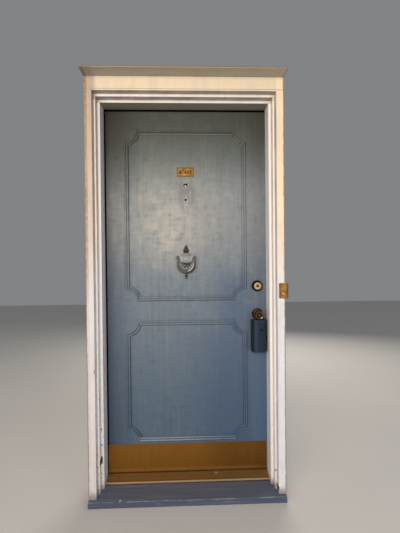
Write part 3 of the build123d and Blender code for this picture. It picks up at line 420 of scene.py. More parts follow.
frame_seen = (235, 234, 236)
frame_warm_light_seen = (225, 210, 184)
frame_sun_lit_seen = (250, 228, 190)
frame_steps_lit_seen = (253, 251, 250)
frame_dull_seen = (196, 184, 168)
frame_left_shade_seen = (178, 163, 146)
frame_dirt_and_shade_seen = (140, 134, 128)
frame_under_shade_seen = (146, 138, 119)
frame_cap_seen = (114, 90, 60)
frame_caulk_seen = (142, 116, 86)
frame_flake_seen = (112, 102, 92)
frame_bare_seen = (52, 42, 34)
# Level and share of the painted shade along each underside.
underside_shades = ((stop_z, 0.95), (step_z, 0.6), (casing_z, 0.5), (cap_z, 0.75))
flakes = (
    ((-step_x + 0.0020, 0.362), (0.0026, 0.009)),
    ((-step_x + 0.0020, 0.277), (0.0026, 0.009)),
    ((-casing_x + 0.0020, 0.178), (0.0022, 0.007)),
    ((-casing_x + 0.0020, 0.082), (0.0024, 0.006)),
    ((-casing_x + 0.0020, 0.062), (0.0026, 0.006)),
    ((-casing_x - 0.0030, 0.690), (0.0024, 0.014)),
)
bare_spots = (
    ((-step_x + 0.0022, 0.198), (0.0042, 0.026)),
    ((-step_x + 0.0022, 0.275), (0.0018, 0.005)),
    ((step_x + 0.005, 0.138), (0.0045, 0.0055)),
    ((casing_x + 0.001, 0.062), (0.0030, 0.012)),
)


def frame_tones(paint, grain, cloud):
    """Cream with painted warm light that grows with height, painted sunlight on the right board, painted
    shade on the upper left, dull mottles, and painted light on the steps.
    """
    boards = paint.either(
        paint.step(paint.beside, casing_x - 0.001, casing_x, 0.35, 1),
        paint.step(paint.z, casing_z - 0.001, casing_z, 0.35, 1),
    )
    # Painted warm light, growing with height on the boards.
    warm_light = paint.times(paint.step(paint.z, 0.9, 1.9), boards)
    base = paint.blend(warm_light, frame_seen, frame_warm_light_seen)
    # Painted sunlight on the right board.
    right_board = paint.step(paint.x, casing_x, casing_x + 0.004)
    sunny = paint.times(right_board, paint.step(paint.z, 1.0, 1.6, 0, 0.7))
    base = paint.blend(sunny, base, frame_sun_lit_seen)
    base = paint.blend(paint.step(cloud, 0.4, 0.75, 0, 0.35), base, frame_dull_seen)
    base = paint.blend(paint.step(grain, 0.55, 0.8, 0, 0.45), base, frame_dull_seen)
    # Painted shade on the upper left of the casing.
    left_shade = paint.times(paint.step(paint.x, -0.44, -0.47), paint.step(paint.z, 1.0, 1.8, 0.22, 0.9))
    base = paint.blend(left_shade, base, frame_left_shade_seen)
    # Painted light on the steps below the head, except on faces turned right.
    steps = paint.band(paint.beside, stop_x - 0.003, casing_x - 0.002, 0.001)
    below_head = paint.step(paint.z, stop_z, stop_z - 0.004, 0, 0.85)
    not_rightward = paint.step(paint.facing_x, 0.6, 0.2)
    steps_lit = paint.times(steps, below_head, not_rightward)
    return paint.blend(steps_lit, base, frame_steps_lit_seen)


def frame_shade_and_cap(paint, base, cloud):
    """Adds painted shade in the corners of the steps and under them, a dark line at the head board's
    foot, and the brown of the cap.
    """
    upright_share = paint.step(paint.z, 0.8, 1.7, 0, 0.55)
    patches = paint.step(cloud, 0.2, 0.7, 0.2, 0.75)
    # Painted shade in the corners of the casing and of the step.
    for side, level in ((casing_x, casing_z), (step_x, step_z)):
        below_level = paint.step(paint.z, level + 0.002, level)
        within_side = paint.step(paint.beside, side + 0.002, side)
        upright = paint.times(paint.line(paint.beside, side, 0.0020), below_level, upright_share)
        lying = paint.times(paint.line(paint.z, level, 0.0022), within_side)
        corner_shade = paint.times(paint.either(upright, lying), patches)
        base = paint.blend(corner_shade, base, frame_dirt_and_shade_seen)
    # Painted shade along the undersides.
    for level, share in underside_shades:
        under = paint.times(paint.line(paint.z, level, 0.0009), share)
        base = paint.blend(under, base, frame_under_shade_seen)
    board_foot = paint.line(paint.z, low("head_board").z, 0.0030)
    board_foot = paint.times(board_foot, paint.step(paint.y, -0.05, -0.04, 1, 0), 0.7)
    base = paint.blend(board_foot, base, frame_dirt_and_shade_seen)
    cap = paint.step(paint.z, cap_z + 0.0005, cap_z + 0.0015, 0, 0.9)
    return paint.blend(cap, base, frame_cap_seen)


def frame_damage(paint, base, ragged, loss):
    """Adds the brown outer edges, the dirty feet, and the chips and flakes low down."""
    outer_x = high("casing_right").x
    left_edge = paint.step(paint.x, -outer_x + 0.019, -outer_x + 0.014)
    browned = paint.times(
        left_edge,
        paint.step(paint.z, 0.9, 1.5, 0.15, 0.85),
        paint.step(ragged, 0.3, 0.6, 0.55, 1),
    )
    base = paint.blend(browned, base, frame_caulk_seen)
    base = paint.blend(paint.times(loss, 0.85), base, frame_caulk_seen)
    foot = paint.step(paint.plus(paint.z, paint.times(ragged, -0.05)), 0.015, 0.06, 1, 0)
    base = paint.blend(paint.times(foot, 0.8), base, frame_dirt_and_shade_seen)
    left_steps = paint.band(paint.x, -casing_x, -stop_x, 0.002)
    low_share = paint.step(paint.z, 0.1, 0.9, 1, 0.1)
    chips = paint.step(paint.noise((0.0035, 0.02, 0.011), 2, 0.5, 2), 0.64, 0.70)
    base = paint.blend(paint.times(chips, low_share, left_steps), base, frame_bare_seen)
    for middle, reach in flakes:
        base = paint.blend(paint.spot(middle, reach, 0.5), base, frame_flake_seen)
    for middle, reach in bare_spots:
        base = paint.blend(paint.spot(middle, reach, 0.7), base, frame_bare_seen)
    return base


def frame_paint():
    """Cream gloss on softwood, with its paint lost along the outer edges, and painted light and shade.
    """
    paint = Finish("frame_paint")
    grain = paint.noise((0.006, 0.006, 0.25))
    cloud = paint.noise((0.05, 0.05, 0.2), 4, 0.6, 4)
    ragged = paint.noise((0.012, 0.012, 0.03), 4, 0.65, 9)
    outer = paint.line(paint.beside, high("casing_right").x, 0.012)
    loss = paint.step(paint.plus(outer, ragged), 1.0, 1.22)
    base = frame_tones(paint, grain, cloud)
    base = frame_shade_and_cap(paint, base, cloud)
    paint.colour(frame_damage(paint, base, ragged, loss))
    paint.roughness(paint.step(cloud, 0.3, 0.8, 0.32, 0.52))
    paint.relief(paint.plus(grain, paint.times(loss, -1.5)), 0.0012, 0.6)
    return paint.material


# Paint of the sill

sill_seen = (86, 97, 116)
sill_front_seen = (76, 84, 104)
sill_dark_seen = (58, 60, 66)
sill_scuff_seen = (132, 136, 140)
sill_worn_seen = (140, 136, 130)
sill_nose_shadow_seen = (16, 15, 15)
sill_chip_seen = (232, 228, 222)


def sill_paint():
    """Slate paint, rubbed along the sill's front edge, with a painted shadow under the threshold's nose.
    """
    paint = Finish("sill_paint")
    front = low("sill").y
    nose = low("threshold").y
    grain = paint.noise((0.30, 0.012, 0.012))
    scuff = paint.noise((0.05, 0.02, 0.02), 4, 0.65, 5)
    base = paint.blend(paint.step(paint.y, front + 0.006, front), sill_seen, sill_front_seen)
    base = paint.blend(paint.step(grain, 0.5, 0.8, 0, 0.5), base, sill_scuff_seen)
    base = paint.blend(paint.step(grain, 0.45, 0.25, 0, 0.4), base, sill_dark_seen)
    base = paint.blend(paint.step(scuff, 0.58, 0.75, 0, 0.5), base, sill_scuff_seen)
    edge = paint.times(paint.line(paint.y, front, 0.010), paint.step(paint.z, 0.024, 0.030))
    worn = paint.step(paint.plus(paint.times(edge, 0.55), scuff), 0.95, 1.12)
    base = paint.blend(paint.times(worn, 0.7), base, sill_worn_seen)
    # Painted shadow on the sill under the threshold's nose.
    base = paint.blend(paint.line(paint.y, nose - 0.004, 0.011), base, sill_nose_shadow_seen)
    by_front = paint.band(paint.y, front + 0.002, front + 0.014, 0.002)
    chip = paint.times(paint.line(paint.x, -0.349, 0.0045), by_front)
    base = paint.blend(chip, base, sill_chip_seen)
    paint.colour(base)
    paint.roughness(paint.step(scuff, 0.3, 0.7, 0.42, 0.62))
    paint.relief(paint.plus(grain, paint.times(worn, -0.7)), 0.0012, 0.7)
    return paint.material


# Paint of the knocker

knocker_seen = (134, 140, 142)
knocker_light_seen = (160, 164, 164)
knocker_flank_lit_seen = (208, 210, 208)
knocker_shade_seen = (37, 42, 45)
knocker_tip_lit_seen = (196, 198, 194)
knocker_shadow_seen = (14, 14, 15)
knocker_gleam_seen = (206, 206, 200)


def knocker_paint():
    """The door's paint, brushed thickly over a casting: painted light on the dome's flanks and leaf
    tips, painted shade on most of the rest, a painted shadow on the bail's lower right and a painted
    highlight inside it.
    """
    paint = Finish("knocker_paint")
    lump = paint.noise((0.006, 0.006, 0.006), 3, 0.55)
    bail_low, bail_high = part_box("knocker_bail")
    reach = bail_high.x
    foot = bail_low.z
    from_centre = paint.distance((0, foot + reach))
    base = paint.blend(paint.step(lump, 0.35, 0.7), knocker_seen, knocker_light_seen)
    # Painted light on the dome's flanks.
    above_leaves = paint.step(paint.z, foot + 0.06, foot + 0.07)
    flank_lit = paint.times(paint.step(paint.beside, 0.014, 0.032), above_leaves, 0.7)
    base = paint.blend(flank_lit, base, knocker_flank_lit_seen)

    # Painted shade on the bail's arms and bow, the finial, below the leaves and on the drop.
    bail_arm = paint.step(paint.beside, reach - 0.015, reach - 0.011)
    below_urn = paint.step(paint.z, urn.z, urn.z - 0.01)
    bail_bow = paint.times(paint.step(from_centre, reach - 0.017, reach - 0.012), below_urn)
    finial = paint.step(paint.z, bail_high.z + 0.014, bail_high.z + 0.019)
    beneath = paint.step(paint.z, foot + 0.062, foot + 0.056)
    drop = paint.step(paint.z, foot + 0.001, foot - 0.001)
    dark = paint.either(bail_arm, bail_bow, finial, beneath, drop)
    base = paint.blend(paint.times(dark, 0.9), base, knocker_shade_seen)

    # Painted light on the tips of the carved leaves.
    carving = paint.band(paint.y, -0.0110, -0.0030, 0.0010)
    tips = paint.step(paint.noise((0.008, 0.02, 0.008), 1, 0.5, 3), 0.46, 0.56)
    swag = paint.band(paint.z, foot + 0.022, foot + 0.064, 0.002)
    base = paint.blend(paint.times(carving, tips, swag, 0.6), base, knocker_tip_lit_seen)
    # Painted shadow on the lower right of the bail's bow.
    black = paint.times(
        paint.step(from_centre, reach - 0.009, reach - 0.006),
        paint.step(paint.x, -0.006, 0.010),
        paint.step(paint.z, foot + 0.060, foot + 0.050),
    )
    base = paint.blend(black, base, knocker_shadow_seen)
    gleam = paint.times(
        paint.line(from_centre, reach - 0.0125, 0.0045),
        paint.step(paint.x, 0.002, 0.016),
        paint.step(paint.z, foot + 0.070, foot + 0.058),
        0.8,
    )
    base = paint.blend(gleam, base, knocker_gleam_seen)
    return paint.complete(base, lump, 0.3, 0.42, 0.0008)


# Metals

knob_dark_seen = (64, 48, 36)
knob_light_seen = (108, 84, 58)
knob_dish_seen = (30, 22, 12)
knob_rim_seen = (150, 120, 84)
knob_glint_seen = (236, 222, 190)
lock_dark_seen = (178, 152, 112)
lock_light_seen = (216, 194, 154)
lock_rim_tarnish_and_shade_seen = (120, 92, 54)
lock_plug_seen = (104, 80, 34)
bell_dark_seen = (138, 94, 40)
bell_light_seen = (178, 125, 59)
bell_left_seen = (48, 38, 14)
bell_right_shade_seen = (74, 54, 30)
bell_dish_seen = (70, 48, 18)
plate_dark_seen = (88, 66, 30)
plate_light_seen = (117, 89, 44)
plate_rim_seen = (78, 56, 34)
kick_dark_seen = (152, 105, 40)
kick_light_seen = (161, 111, 44)
kick_right_seen = (108, 74, 28)
kick_foot_seen = (196, 150, 80)
kick_streak_seen = (186, 136, 68)
kick_gap_shade_seen = (30, 24, 16)
saddle_dark_seen = (152, 123, 72)
saddle_light_seen = (172, 141, 84)
saddle_brown_seen = (160, 104, 38)
saddle_nose_worn_and_lit_seen = (250, 226, 186)
saddle_scratch_seen = (240, 220, 186)


def metal(name, dark, light, size, smooth, rough):
    """Tarnished metal: two colours mixed by noise of the given size, and roughness that follows it."""
    finish = Finish(name, metallic=1.0)
    cloud = finish.noise(size)
    fine = finish.noise([length / 9 for length in size], 3, 0.6, 5)
    mixed = finish.step(finish.plus(cloud, finish.times(fine, 0.25)), 0.42, 0.82)
    finish.colour(finish.blend(mixed, dark, light))
    worn = finish.step(cloud, 0.3, 0.7, rough, smooth)
    finish.roughness(finish.plus(worn, finish.times(fine, 0.06)))
    finish.relief(fine, 0.0002)
    return finish.material


def knob_brass():
    """Aged brass, nearly black in the knob's dish and rubbed at its rim."""
    brass = Finish("knob_brass", metallic=0.9)
    cloud = brass.noise((0.012, 0.012, 0.012))
    base = brass.blend(brass.step(cloud, 0.35, 0.7), knob_dark_seen, knob_light_seen)
    away = brass.distance((knob.x, knob.z))
    face = low("knob_outer").y
    in_front = brass.step(brass.y, face + 0.006, face + 0.003)
    dish = brass.times(brass.band(away, 0.0066, 0.0150, 0.0015), in_front, 0.85)
    base = brass.blend(dish, base, knob_dish_seen)
    rim = brass.times(brass.line(away, 0.0190, 0.003), in_front, 0.4)
    base = brass.blend(rim, base, knob_rim_seen)
    glint = brass.spot((knob.x + 0.013, knob.z - 0.014), (0.009, 0.006), 0.3)
    base = brass.blend(brass.times(glint, in_front), base, knob_glint_seen)
    return brass.complete(base, cloud, 0.46, 0.34, 0.0003)


def lock_bright():
    """Bright brass of the deadbolt's face; the plug in the knob has gone brown."""
    brass = Finish("lock_bright", metallic=0.85)
    cloud = brass.noise((0.008, 0.008, 0.008))
    base = brass.blend(brass.step(cloud, 0.35, 0.7), lock_dark_seen, lock_light_seen)
    # A dark ring round the deadbolt's face, partly tarnish and partly painted shade.
    rim = brass.line(brass.distance((deadbolt.x, deadbolt.z)), 0.0205, 0.004)
    base = brass.blend(brass.times(rim, 0.5), base, lock_rim_tarnish_and_shade_seen)
    in_knob = brass.spot((knob.x, knob.z), (0.012, 0.012), 0.8)
    base = brass.blend(in_knob, base, lock_plug_seen)
    return brass.complete(base, cloud, 0.5, 0.36, 0.0002)


def bell_brass():
    """Dull orange brass, darker along its left edge and round the button, with painted shade along its
    right edge.
    """
    brass = Finish("bell_brass", metallic=0.8)
    left, right = low("bell_plate").x, high("bell_plate").x
    button = centre("bell_button")
    cloud = brass.noise((0.014, 0.014, 0.02))
    base = brass.blend(brass.step(cloud, 0.3, 0.7), bell_dark_seen, bell_light_seen)
    left_edge = brass.step(brass.x, left + 0.008, left + 0.002, 0, 0.8)
    base = brass.blend(left_edge, base, bell_left_seen)
    # Painted shade along the right edge.
    right_edge = brass.step(brass.x, right - 0.018, right - 0.006, 0, 0.65)
    base = brass.blend(right_edge, base, bell_right_shade_seen)
    dish = brass.line(brass.distance((button.x, button.z)), 0.0085, 0.004)
    base = brass.blend(brass.times(dish, 0.6), base, bell_dish_seen)
    return brass.complete(base, cloud, 0.52, 0.4, 0.0003)


def nameplate_brass():
    """Lacquered orange brass with a darker rim."""
    brass = Finish("nameplate_brass", metallic=0.8)
    side = high("nameplate").x
    height = brass.less(brass.z, centre("nameplate").z)
    cloud = brass.noise((0.02, 0.02, 0.01))
    base = brass.blend(brass.step(cloud, 0.3, 0.7), plate_dark_seen, plate_light_seen)
    rim = brass.either(
        brass.step(brass.beside, side - 0.008, side - 0.002),
        brass.step(brass.maths("ABSOLUTE", height), 0.017, 0.025),
    )
    base = brass.blend(brass.times(rim, 0.7), base, plate_rim_seen)
    return brass.complete(base, cloud, 0.48, 0.36, 0.0002)


def kickplate_brass():
    """Sheet brass gone brown, in upright streaks, darker to the right and paler along the foot."""
    brass = Finish("kickplate_brass", metallic=0.85)
    streak = brass.noise((0.05, 0.05, 0.9), 4, 0.55)
    fine = brass.noise((0.004, 0.004, 0.12), 3, 0.6, 6)
    base = brass.blend(brass.step(streak, 0.3, 0.7), kick_dark_seen, kick_light_seen)
    base = brass.blend(brass.step(brass.x, 0.0, 0.28, 0, 0.6), base, kick_right_seen)
    foot = brass.line(brass.z, low("kickplate").z + 0.010, 0.010)
    base = brass.blend(brass.times(foot, 0.35), base, kick_foot_seen)
    base = brass.blend(brass.step(fine, 0.55, 0.8, 0, 0.2), base, kick_streak_seen)
    # Painted shadow of the gap along the plate's left edge.
    side_gap_shade = brass.step(brass.x, -stop_x + 0.008, -stop_x + 0.004)
    base = brass.blend(side_gap_shade, base, kick_gap_shade_seen)
    brass.colour(base)
    brass.roughness(brass.step(streak, 0.3, 0.7, 0.5, 0.38))
    brass.relief(fine, 0.00025, 0.4)
    return brass.material


def threshold_brass():
    """A worn brass saddle: brown on its slope, rubbed along the nose, with a painted highlight there
    too.
    """
    brass = Finish("threshold_brass", metallic=0.85)
    front = low("threshold").y
    grain = brass.noise((0.25, 0.006, 0.006))
    base = brass.blend(brass.step(grain, 0.3, 0.7), saddle_dark_seen, saddle_light_seen)
    base = brass.blend(brass.line(brass.y, front + 0.008, 0.004), base, saddle_brown_seen)
    # Rubbed brass and a painted highlight along the nose.
    nose = brass.step(brass.y, front + 0.0045, front + 0.0020)
    base = brass.blend(nose, base, saddle_nose_worn_and_lit_seen)
    scratch = brass.spot((0.155, 0.066), (0.012, 0.004), 0.2)
    base = brass.blend(brass.times(scratch, 0.7), base, saddle_scratch_seen)
    return brass.complete(base, grain, 0.46, 0.34, 0.0003)


# Glass, rubber and the key safe

glass_dark_seen = (8, 8, 10)
glass_haze_seen = (40, 40, 40)
glass_lit_seen = (226, 223, 216)
safe_dark_seen = (14, 31, 50)
safe_light_seen = (22, 42, 64)
safe_band_seen = (29, 49, 72)
safe_left_seen = (13, 21, 34)
safe_right_seen = (12, 12, 15)
safe_top_seen = (48, 50, 54)


def viewer_glass():
    """A dark, glossy lens whose lower half catches the light of the street."""
    glass = Finish("viewer_glass", specular=0.9)
    haze = glass.noise((0.004, 0.004, 0.004), 2, 0.55)
    base = glass.blend(haze, glass_dark_seen, glass_haze_seen)
    lit = glass.spot((0.001, viewer.z - 0.0062), (0.0068, 0.0046), 0.5)
    glass.colour(glass.blend(lit, base, glass_lit_seen))
    glass.roughness(glass.step(haze, 0.3, 0.7, 0.05, 0.14))
    return glass.material


def safe_navy():
    """Dark navy baked paint in upright bands, nearly black on the side in the shade."""
    paint = Finish("safe_navy", specular=0.35)
    left, right = low("key_safe_body").x, high("key_safe_body").x
    head = high("key_safe_body").z
    streak = paint.noise((0.006, 0.006, 0.2), 3, 0.5)
    base = paint.blend(paint.step(streak, 0.4, 0.7), safe_dark_seen, safe_light_seen)
    pale_band = paint.band(paint.x, left + 0.016, left + 0.030, 0.006)
    base = paint.blend(pale_band, base, safe_band_seen)
    base = paint.blend(paint.line(paint.x, left + 0.009, 0.005), base, safe_left_seen)
    right_side = paint.step(paint.x, right - 0.014, right - 0.009)
    base = paint.blend(right_side, base, safe_right_seen)
    top = paint.step(paint.z, head - 0.02, head)
    base = paint.blend(paint.times(top, 0.35), base, safe_top_seen)
    paint.colour(base)
    paint.roughness(paint.step(streak, 0.3, 0.7, 0.38, 0.52))
    paint.relief(paint.noise((0.002, 0.002, 0.002), 2, 0.55), 0.0002)
    return paint.material


def plain_stuff(name, dark, light, size, rough, specular):
    """Rubber or plastic with a faint mottle."""
    stuff = Finish(name, specular=specular)
    cloud = stuff.noise((size, size, size), 3, 0.55)
    base = stuff.blend(stuff.step(cloud, 0.3, 0.7), dark, light)
    return stuff.complete(base, cloud, rough - 0.06, rough + 0.06, 0.0002, 0.4)


# Dark and light colour, size of the clouds, and roughness where smooth and where rough
metals = {
    "lock_bronze": ((34, 27, 20), (70, 54, 40), (0.01, 0.01, 0.01), 0.32, 0.48),
    "hinge_steel": ((150, 136, 108), (196, 184, 158), (0.012, 0.012, 0.03), 0.26, 0.42),
    "bolt_steel": ((150, 148, 144), (204, 202, 198), (0.02, 0.004, 0.004), 0.22, 0.38),
    "viewer_metal": ((26, 26, 26), (84, 82, 80), (0.005, 0.005, 0.005), 0.3, 0.45),
    "shackle_steel": ((54, 54, 58), (104, 106, 110), (0.008, 0.008, 0.008), 0.3, 0.46),
}
# Dark and light colour, size of the mottle, roughness and specular level
plain_stuffs = {
    "bell_ivory": ((206, 166, 92), (228, 194, 128), 0.004, 0.32, 0.5),
    "seal_rubber": ((20, 19, 18), (38, 36, 34), 0.006, 0.6, 0.3),
    "dial_rubber": ((5, 6, 8), (12, 13, 16), 0.003, 0.5, 0.2),
}
finishes = {
    "frame_paint": frame_paint(),
    "door_paint": door_paint(),
    "sill_paint": sill_paint(),
    "knocker_paint": knocker_paint(),
    "kickplate_brass": kickplate_brass(),
    "threshold_brass": threshold_brass(),
    "nameplate_brass": nameplate_brass(),
    "knob_brass": knob_brass(),
    "lock_bright": lock_bright(),
    "bell_brass": bell_brass(),
    "viewer_glass": viewer_glass(),
    "safe_navy": safe_navy(),
}
for name, values in metals.items():
    finishes[name] = metal(name, *values)
for name, values in plain_stuffs.items():
    finishes[name] = plain_stuff(name, *values)

for part in frame["record"]["subparts"]:
    for slot in nodes[part["node"]].material_slots:
        slot.material = finishes[part["material_slot"]]


# Small pieces built here

def piece(name, mesh, slot_name, body, smooth_angle=None, finish=None):
    """Turns a bmesh in the row frame into a piece that rides on a body.

    finish names the piece's paint where it isn't the slot's own.
    """
    bmesh.ops.recalc_face_normals(mesh, faces=mesh.faces)
    data = bpy.data.meshes.new(name)
    mesh.to_mesh(data)
    mesh.free()
    data.materials.append(finishes[finish or slot_name])
    made = bpy.data.objects.new(name, data)
    bpy.context.scene.collection.objects.link(made)
    if smooth_angle is not None:
        data.shade_smooth()
        data.set_sharp_from_angle(angle=math.radians(smooth_angle))
    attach(made, body)


screw_sides = 20
screw_rings = 5
screw_slot_half = 0.12
screw_slot_lip = 1.15
screw_slot_depth = 0.6
just_over = 1.01
same_place = 0.0001

# Radius and crown of each kind of screw head
kickplate_head = (0.0032, 0.0011)
nameplate_head = (0.0024, 0.0008)
bell_head = (0.0030, 0.0010)
threshold_head = (0.0034, 0.0010)

kick_screw_inset = 0.016
kick_screw_x = 0.245
plate_screw_inset = 0.0055
bell_screw_inset = 0.007
saddle_screws = (-0.38, -0.13, 0.13, 0.38)
saddle_screw_share = 0.62
screw_smooth = 40


def add_rings(mesh, middle, rings, sides):
    """Adds a skin of rings round an axis towards -Y, each a radius and a rise. Returns their rows."""
    rows = []
    for radius, rise in rings:
        row = []
        for side in range(sides):
            around = 2 * math.pi * side / sides
            x = middle[0] + radius * math.cos(around)
            z = middle[2] + radius * math.sin(around)
            row.append(mesh.verts.new((x, middle[1] - rise, z)))
        rows.append(row)
    for lower, upper in zip(rows, rows[1:]):
        for side in range(sides):
            after = (side + 1) % sides
            mesh.faces.new((lower[side], lower[after], upper[after], upper[side]))
    return rows


def add_screw(mesh, place, radius, crown, turn, tilt=0.0):
    """Adds a domed, slotted screw head at a place on a face.

    turn spins the slot and tilt leans the head back, both in degrees: 0 is on a face towards -Y,
    and 90 on one that looks upwards.
    """
    start = len(mesh.verts)
    angles = [math.pi / 2 * ring / screw_rings for ring in range(screw_rings)]
    rings = [(radius * math.cos(angle), crown * math.sin(angle)) for angle in angles]
    last = add_rings(mesh, (0, 0, 0), rings, screw_sides)[-1]
    tip = mesh.verts.new((0, -crown, 0))
    for side in range(screw_sides):
        mesh.faces.new((last[side], last[(side + 1) % screw_sides], tip))
    mesh.verts.ensure_lookup_table()
    made = [mesh.verts[i] for i in range(start, len(mesh.verts))]
    for offset in (-1, 1):
        for share in (screw_slot_half, screw_slot_half * screw_slot_lip):
            inside = set(made)
            faces = [face for face in mesh.faces if face.verts[0] in inside]
            edges = {edge for face in faces for edge in face.edges}
            result = bmesh.ops.bisect_plane(
                mesh,
                geom=[*made, *edges, *faces],
                plane_co=(0, 0, offset * share * radius),
                plane_no=(0, 0, 1),
            )
            cut = result["geom_cut"]
            made += [part for part in cut if isinstance(part, bmesh.types.BMVert) and part not in inside]
    floor_y = -crown * (1 - screw_slot_depth)
    for vert in made:
        if abs(vert.co.z) <= screw_slot_half * radius * just_over and vert.co.y < floor_y:
            vert.co.y = floor_y
    spin = Matrix.Rotation(math.radians(-tilt), 4, "X") @ Matrix.Rotation(math.radians(turn), 4, "Y")
    bmesh.ops.transform(mesh, matrix=Matrix.Translation(place) @ spin, verts=made)


def make_screws():
    """Round-headed screws of the kickplate, the nameplate, the bell plate and the threshold."""
    kick_low, kick_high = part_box("kickplate")
    heads = bmesh.new()
    left, right = kick_low.x + kick_screw_inset, kick_high.x - kick_screw_inset
    foot, head = kick_low.z + kick_screw_inset, kick_high.z - kick_screw_inset
    for index, across in enumerate((left, -kick_screw_x, 0, kick_screw_x, right)):
        for level in (foot, head):
            turn = 37 * index + 300 * level
            add_screw(heads, (across, kick_low.y, level), *kickplate_head, turn)
    piece("kickplate_screws", heads, "knob_brass", "leaf", screw_smooth)

    name_low, name_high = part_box("nameplate")
    heads = bmesh.new()
    for across in (name_low.x + plate_screw_inset, name_high.x - plate_screw_inset):
        place = (across, name_low.y, centre("nameplate").z)
        add_screw(heads, place, *nameplate_head, 25 + 300 * across)
    piece("nameplate_screws", heads, "lock_bronze", "leaf", screw_smooth)

    bell_low, bell_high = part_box("bell_plate")
    heads = bmesh.new()
    for level in (bell_low.z + bell_screw_inset, bell_high.z - bell_screw_inset):
        place = ((bell_low.x + bell_high.x) / 2, bell_low.y, level)
        add_screw(heads, place, *bell_head, 300 * level)
    piece("bell_screws", heads, "bell_brass", "frame", screw_smooth)

    saddle = nodes["threshold"].data.vertices
    nose = low("threshold").y
    nose_top = max(vertex.co.z for vertex in saddle if vertex.co.y < nose + same_place)
    top = high("threshold").z
    ridge = min(vertex.co.y for vertex in saddle if vertex.co.z > top - same_place)
    lean = math.degrees(math.atan2(ridge - nose, top - nose_top))
    back = nose + saddle_screw_share * (ridge - nose)
    level = nose_top + saddle_screw_share * (top - nose_top)
    heads = bmesh.new()
    for index, across in enumerate(saddle_screws):
        add_screw(heads, (across, back, level), *threshold_head, 50 * index + 10, lean)
    piece("threshold_screws", heads, "knob_brass", "frame", screw_smooth)


def add_prism(mesh, outline, base_y, rise):
    """Adds a flat raised shape on a face towards -Y: outline is a list of (x, z)."""
    back = [mesh.verts.new((x, base_y, z)) for x, z in outline]
    front = [mesh.verts.new((x, base_y - rise, z)) for x, z in outline]
    mesh.faces.new(front)
    mesh.faces.new(list(reversed(back)))
    for i in range(len(outline)):
        j = (i + 1) % len(outline)
        mesh.faces.new((back[i], back[j], front[j], front[i]))


def box_outline(left, right, foot, head):
    """Corners (x, z) of an upright rectangle."""
    return [(left, foot), (right, foot), (right, head), (left, head)]


# Place and half sizes of each lozenge
lozenges = ((-0.029, 0.0065, 0.013), (0.0, 0.0045, 0.012), (0.029, 0.0065, 0.013))
bars = (-0.018, -0.012, 0.012, 0.018)
bar_half_wide = 0.0012
bar_half_high = 0.011
mark_rise = 0.0003
border_margin = 0.0045
border_end = 2.5 * border_margin
border_thin = 0.0009


def make_nameplate_marks():
    """Generic lozenges and bars inside a fine border, where the real plate is lettered."""
    plate_low, plate_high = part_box("nameplate")
    middle = centre("nameplate").z
    marks = bmesh.new()
    outlines = []
    for across, half_wide, half_high in lozenges:
        outline = []
        for corner in range(4):
            angle = math.pi / 2 * corner
            outline.append((across + half_wide * math.cos(angle), middle + half_high * math.sin(angle)))
        outlines.append(outline)
    for across in bars:
        left, right = across - bar_half_wide, across + bar_half_wide
        outlines.append(box_outline(left, right, middle - bar_half_high, middle + bar_half_high))
    left, right = plate_low.x + border_end, plate_high.x - border_end
    foot, head = plate_low.z + border_margin, plate_high.z - border_margin
    outlines.append(box_outline(left, right, foot, foot + border_thin))
    outlines.append(box_outline(left, right, head - border_thin, head))
    for outline in outlines:
        add_prism(marks, outline, plate_low.y, mark_rise)
    piece("nameplate_marks", marks, "lock_bronze", "leaf")


recess_depth = 0.002
recess_reach = 0.025
dial_gap = 0.0004
dial_sides = 32
dial_smooth = 35
# Share of the radius and rise of each ring of the dial's cap
dial_rings = ((1.0, 0.0), (1.0, 0.0008), (0.86, 0.0013), (0.45, 0.0016))


def make_safe_dial():
    """Black rubber cap over the key safe's dial, sunk in its round recess."""
    face_y = low("key_safe_body").y
    middle_x = centre("key_safe_body").x
    points = [vertex.co for vertex in nodes["key_safe_body"].data.vertices]
    sunk = [point for point in points if abs(point.y - face_y - recess_depth) < same_place]
    recess = [point for point in sunk if abs(point.x - middle_x) < recess_reach]
    across = [point.x for point in recess]
    levels = [point.z for point in recess]
    radius = (max(across) - min(across)) / 2 - dial_gap
    middle = ((min(across) + max(across)) / 2, recess[0].y, (min(levels) + max(levels)) / 2)
    cap = bmesh.new()
    rows = add_rings(cap, middle, [(radius * share, rise) for share, rise in dial_rings], dial_sides)
    cap.faces.new(rows[-1])
    cap.faces.new(list(reversed(rows[0])))
    piece("safe_dial_cap", cap, "seal_rubber", "leaf", dial_smooth, "dial_rubber")


leaf_rows = 10
leaf_columns = 8
leaf_smooth = 50

# Turn and length of each leaf, and the half width and rise of its kind
swag_leaves = ((-66, 0.030), (-40, 0.033), (-16, 0.036), (16, 0.036), (40, 0.033), (66, 0.030))
swag_leaf = (0.0072, 0.0105)
swag_root_rise = 0.064
swag_spread = 0.004
crest_leaves = ((148, 0.030), (-148, 0.030), (168, 0.040), (-168, 0.040))
crest_leaf = (0.0075, 0.0080)
crest_root_rise = 0.012


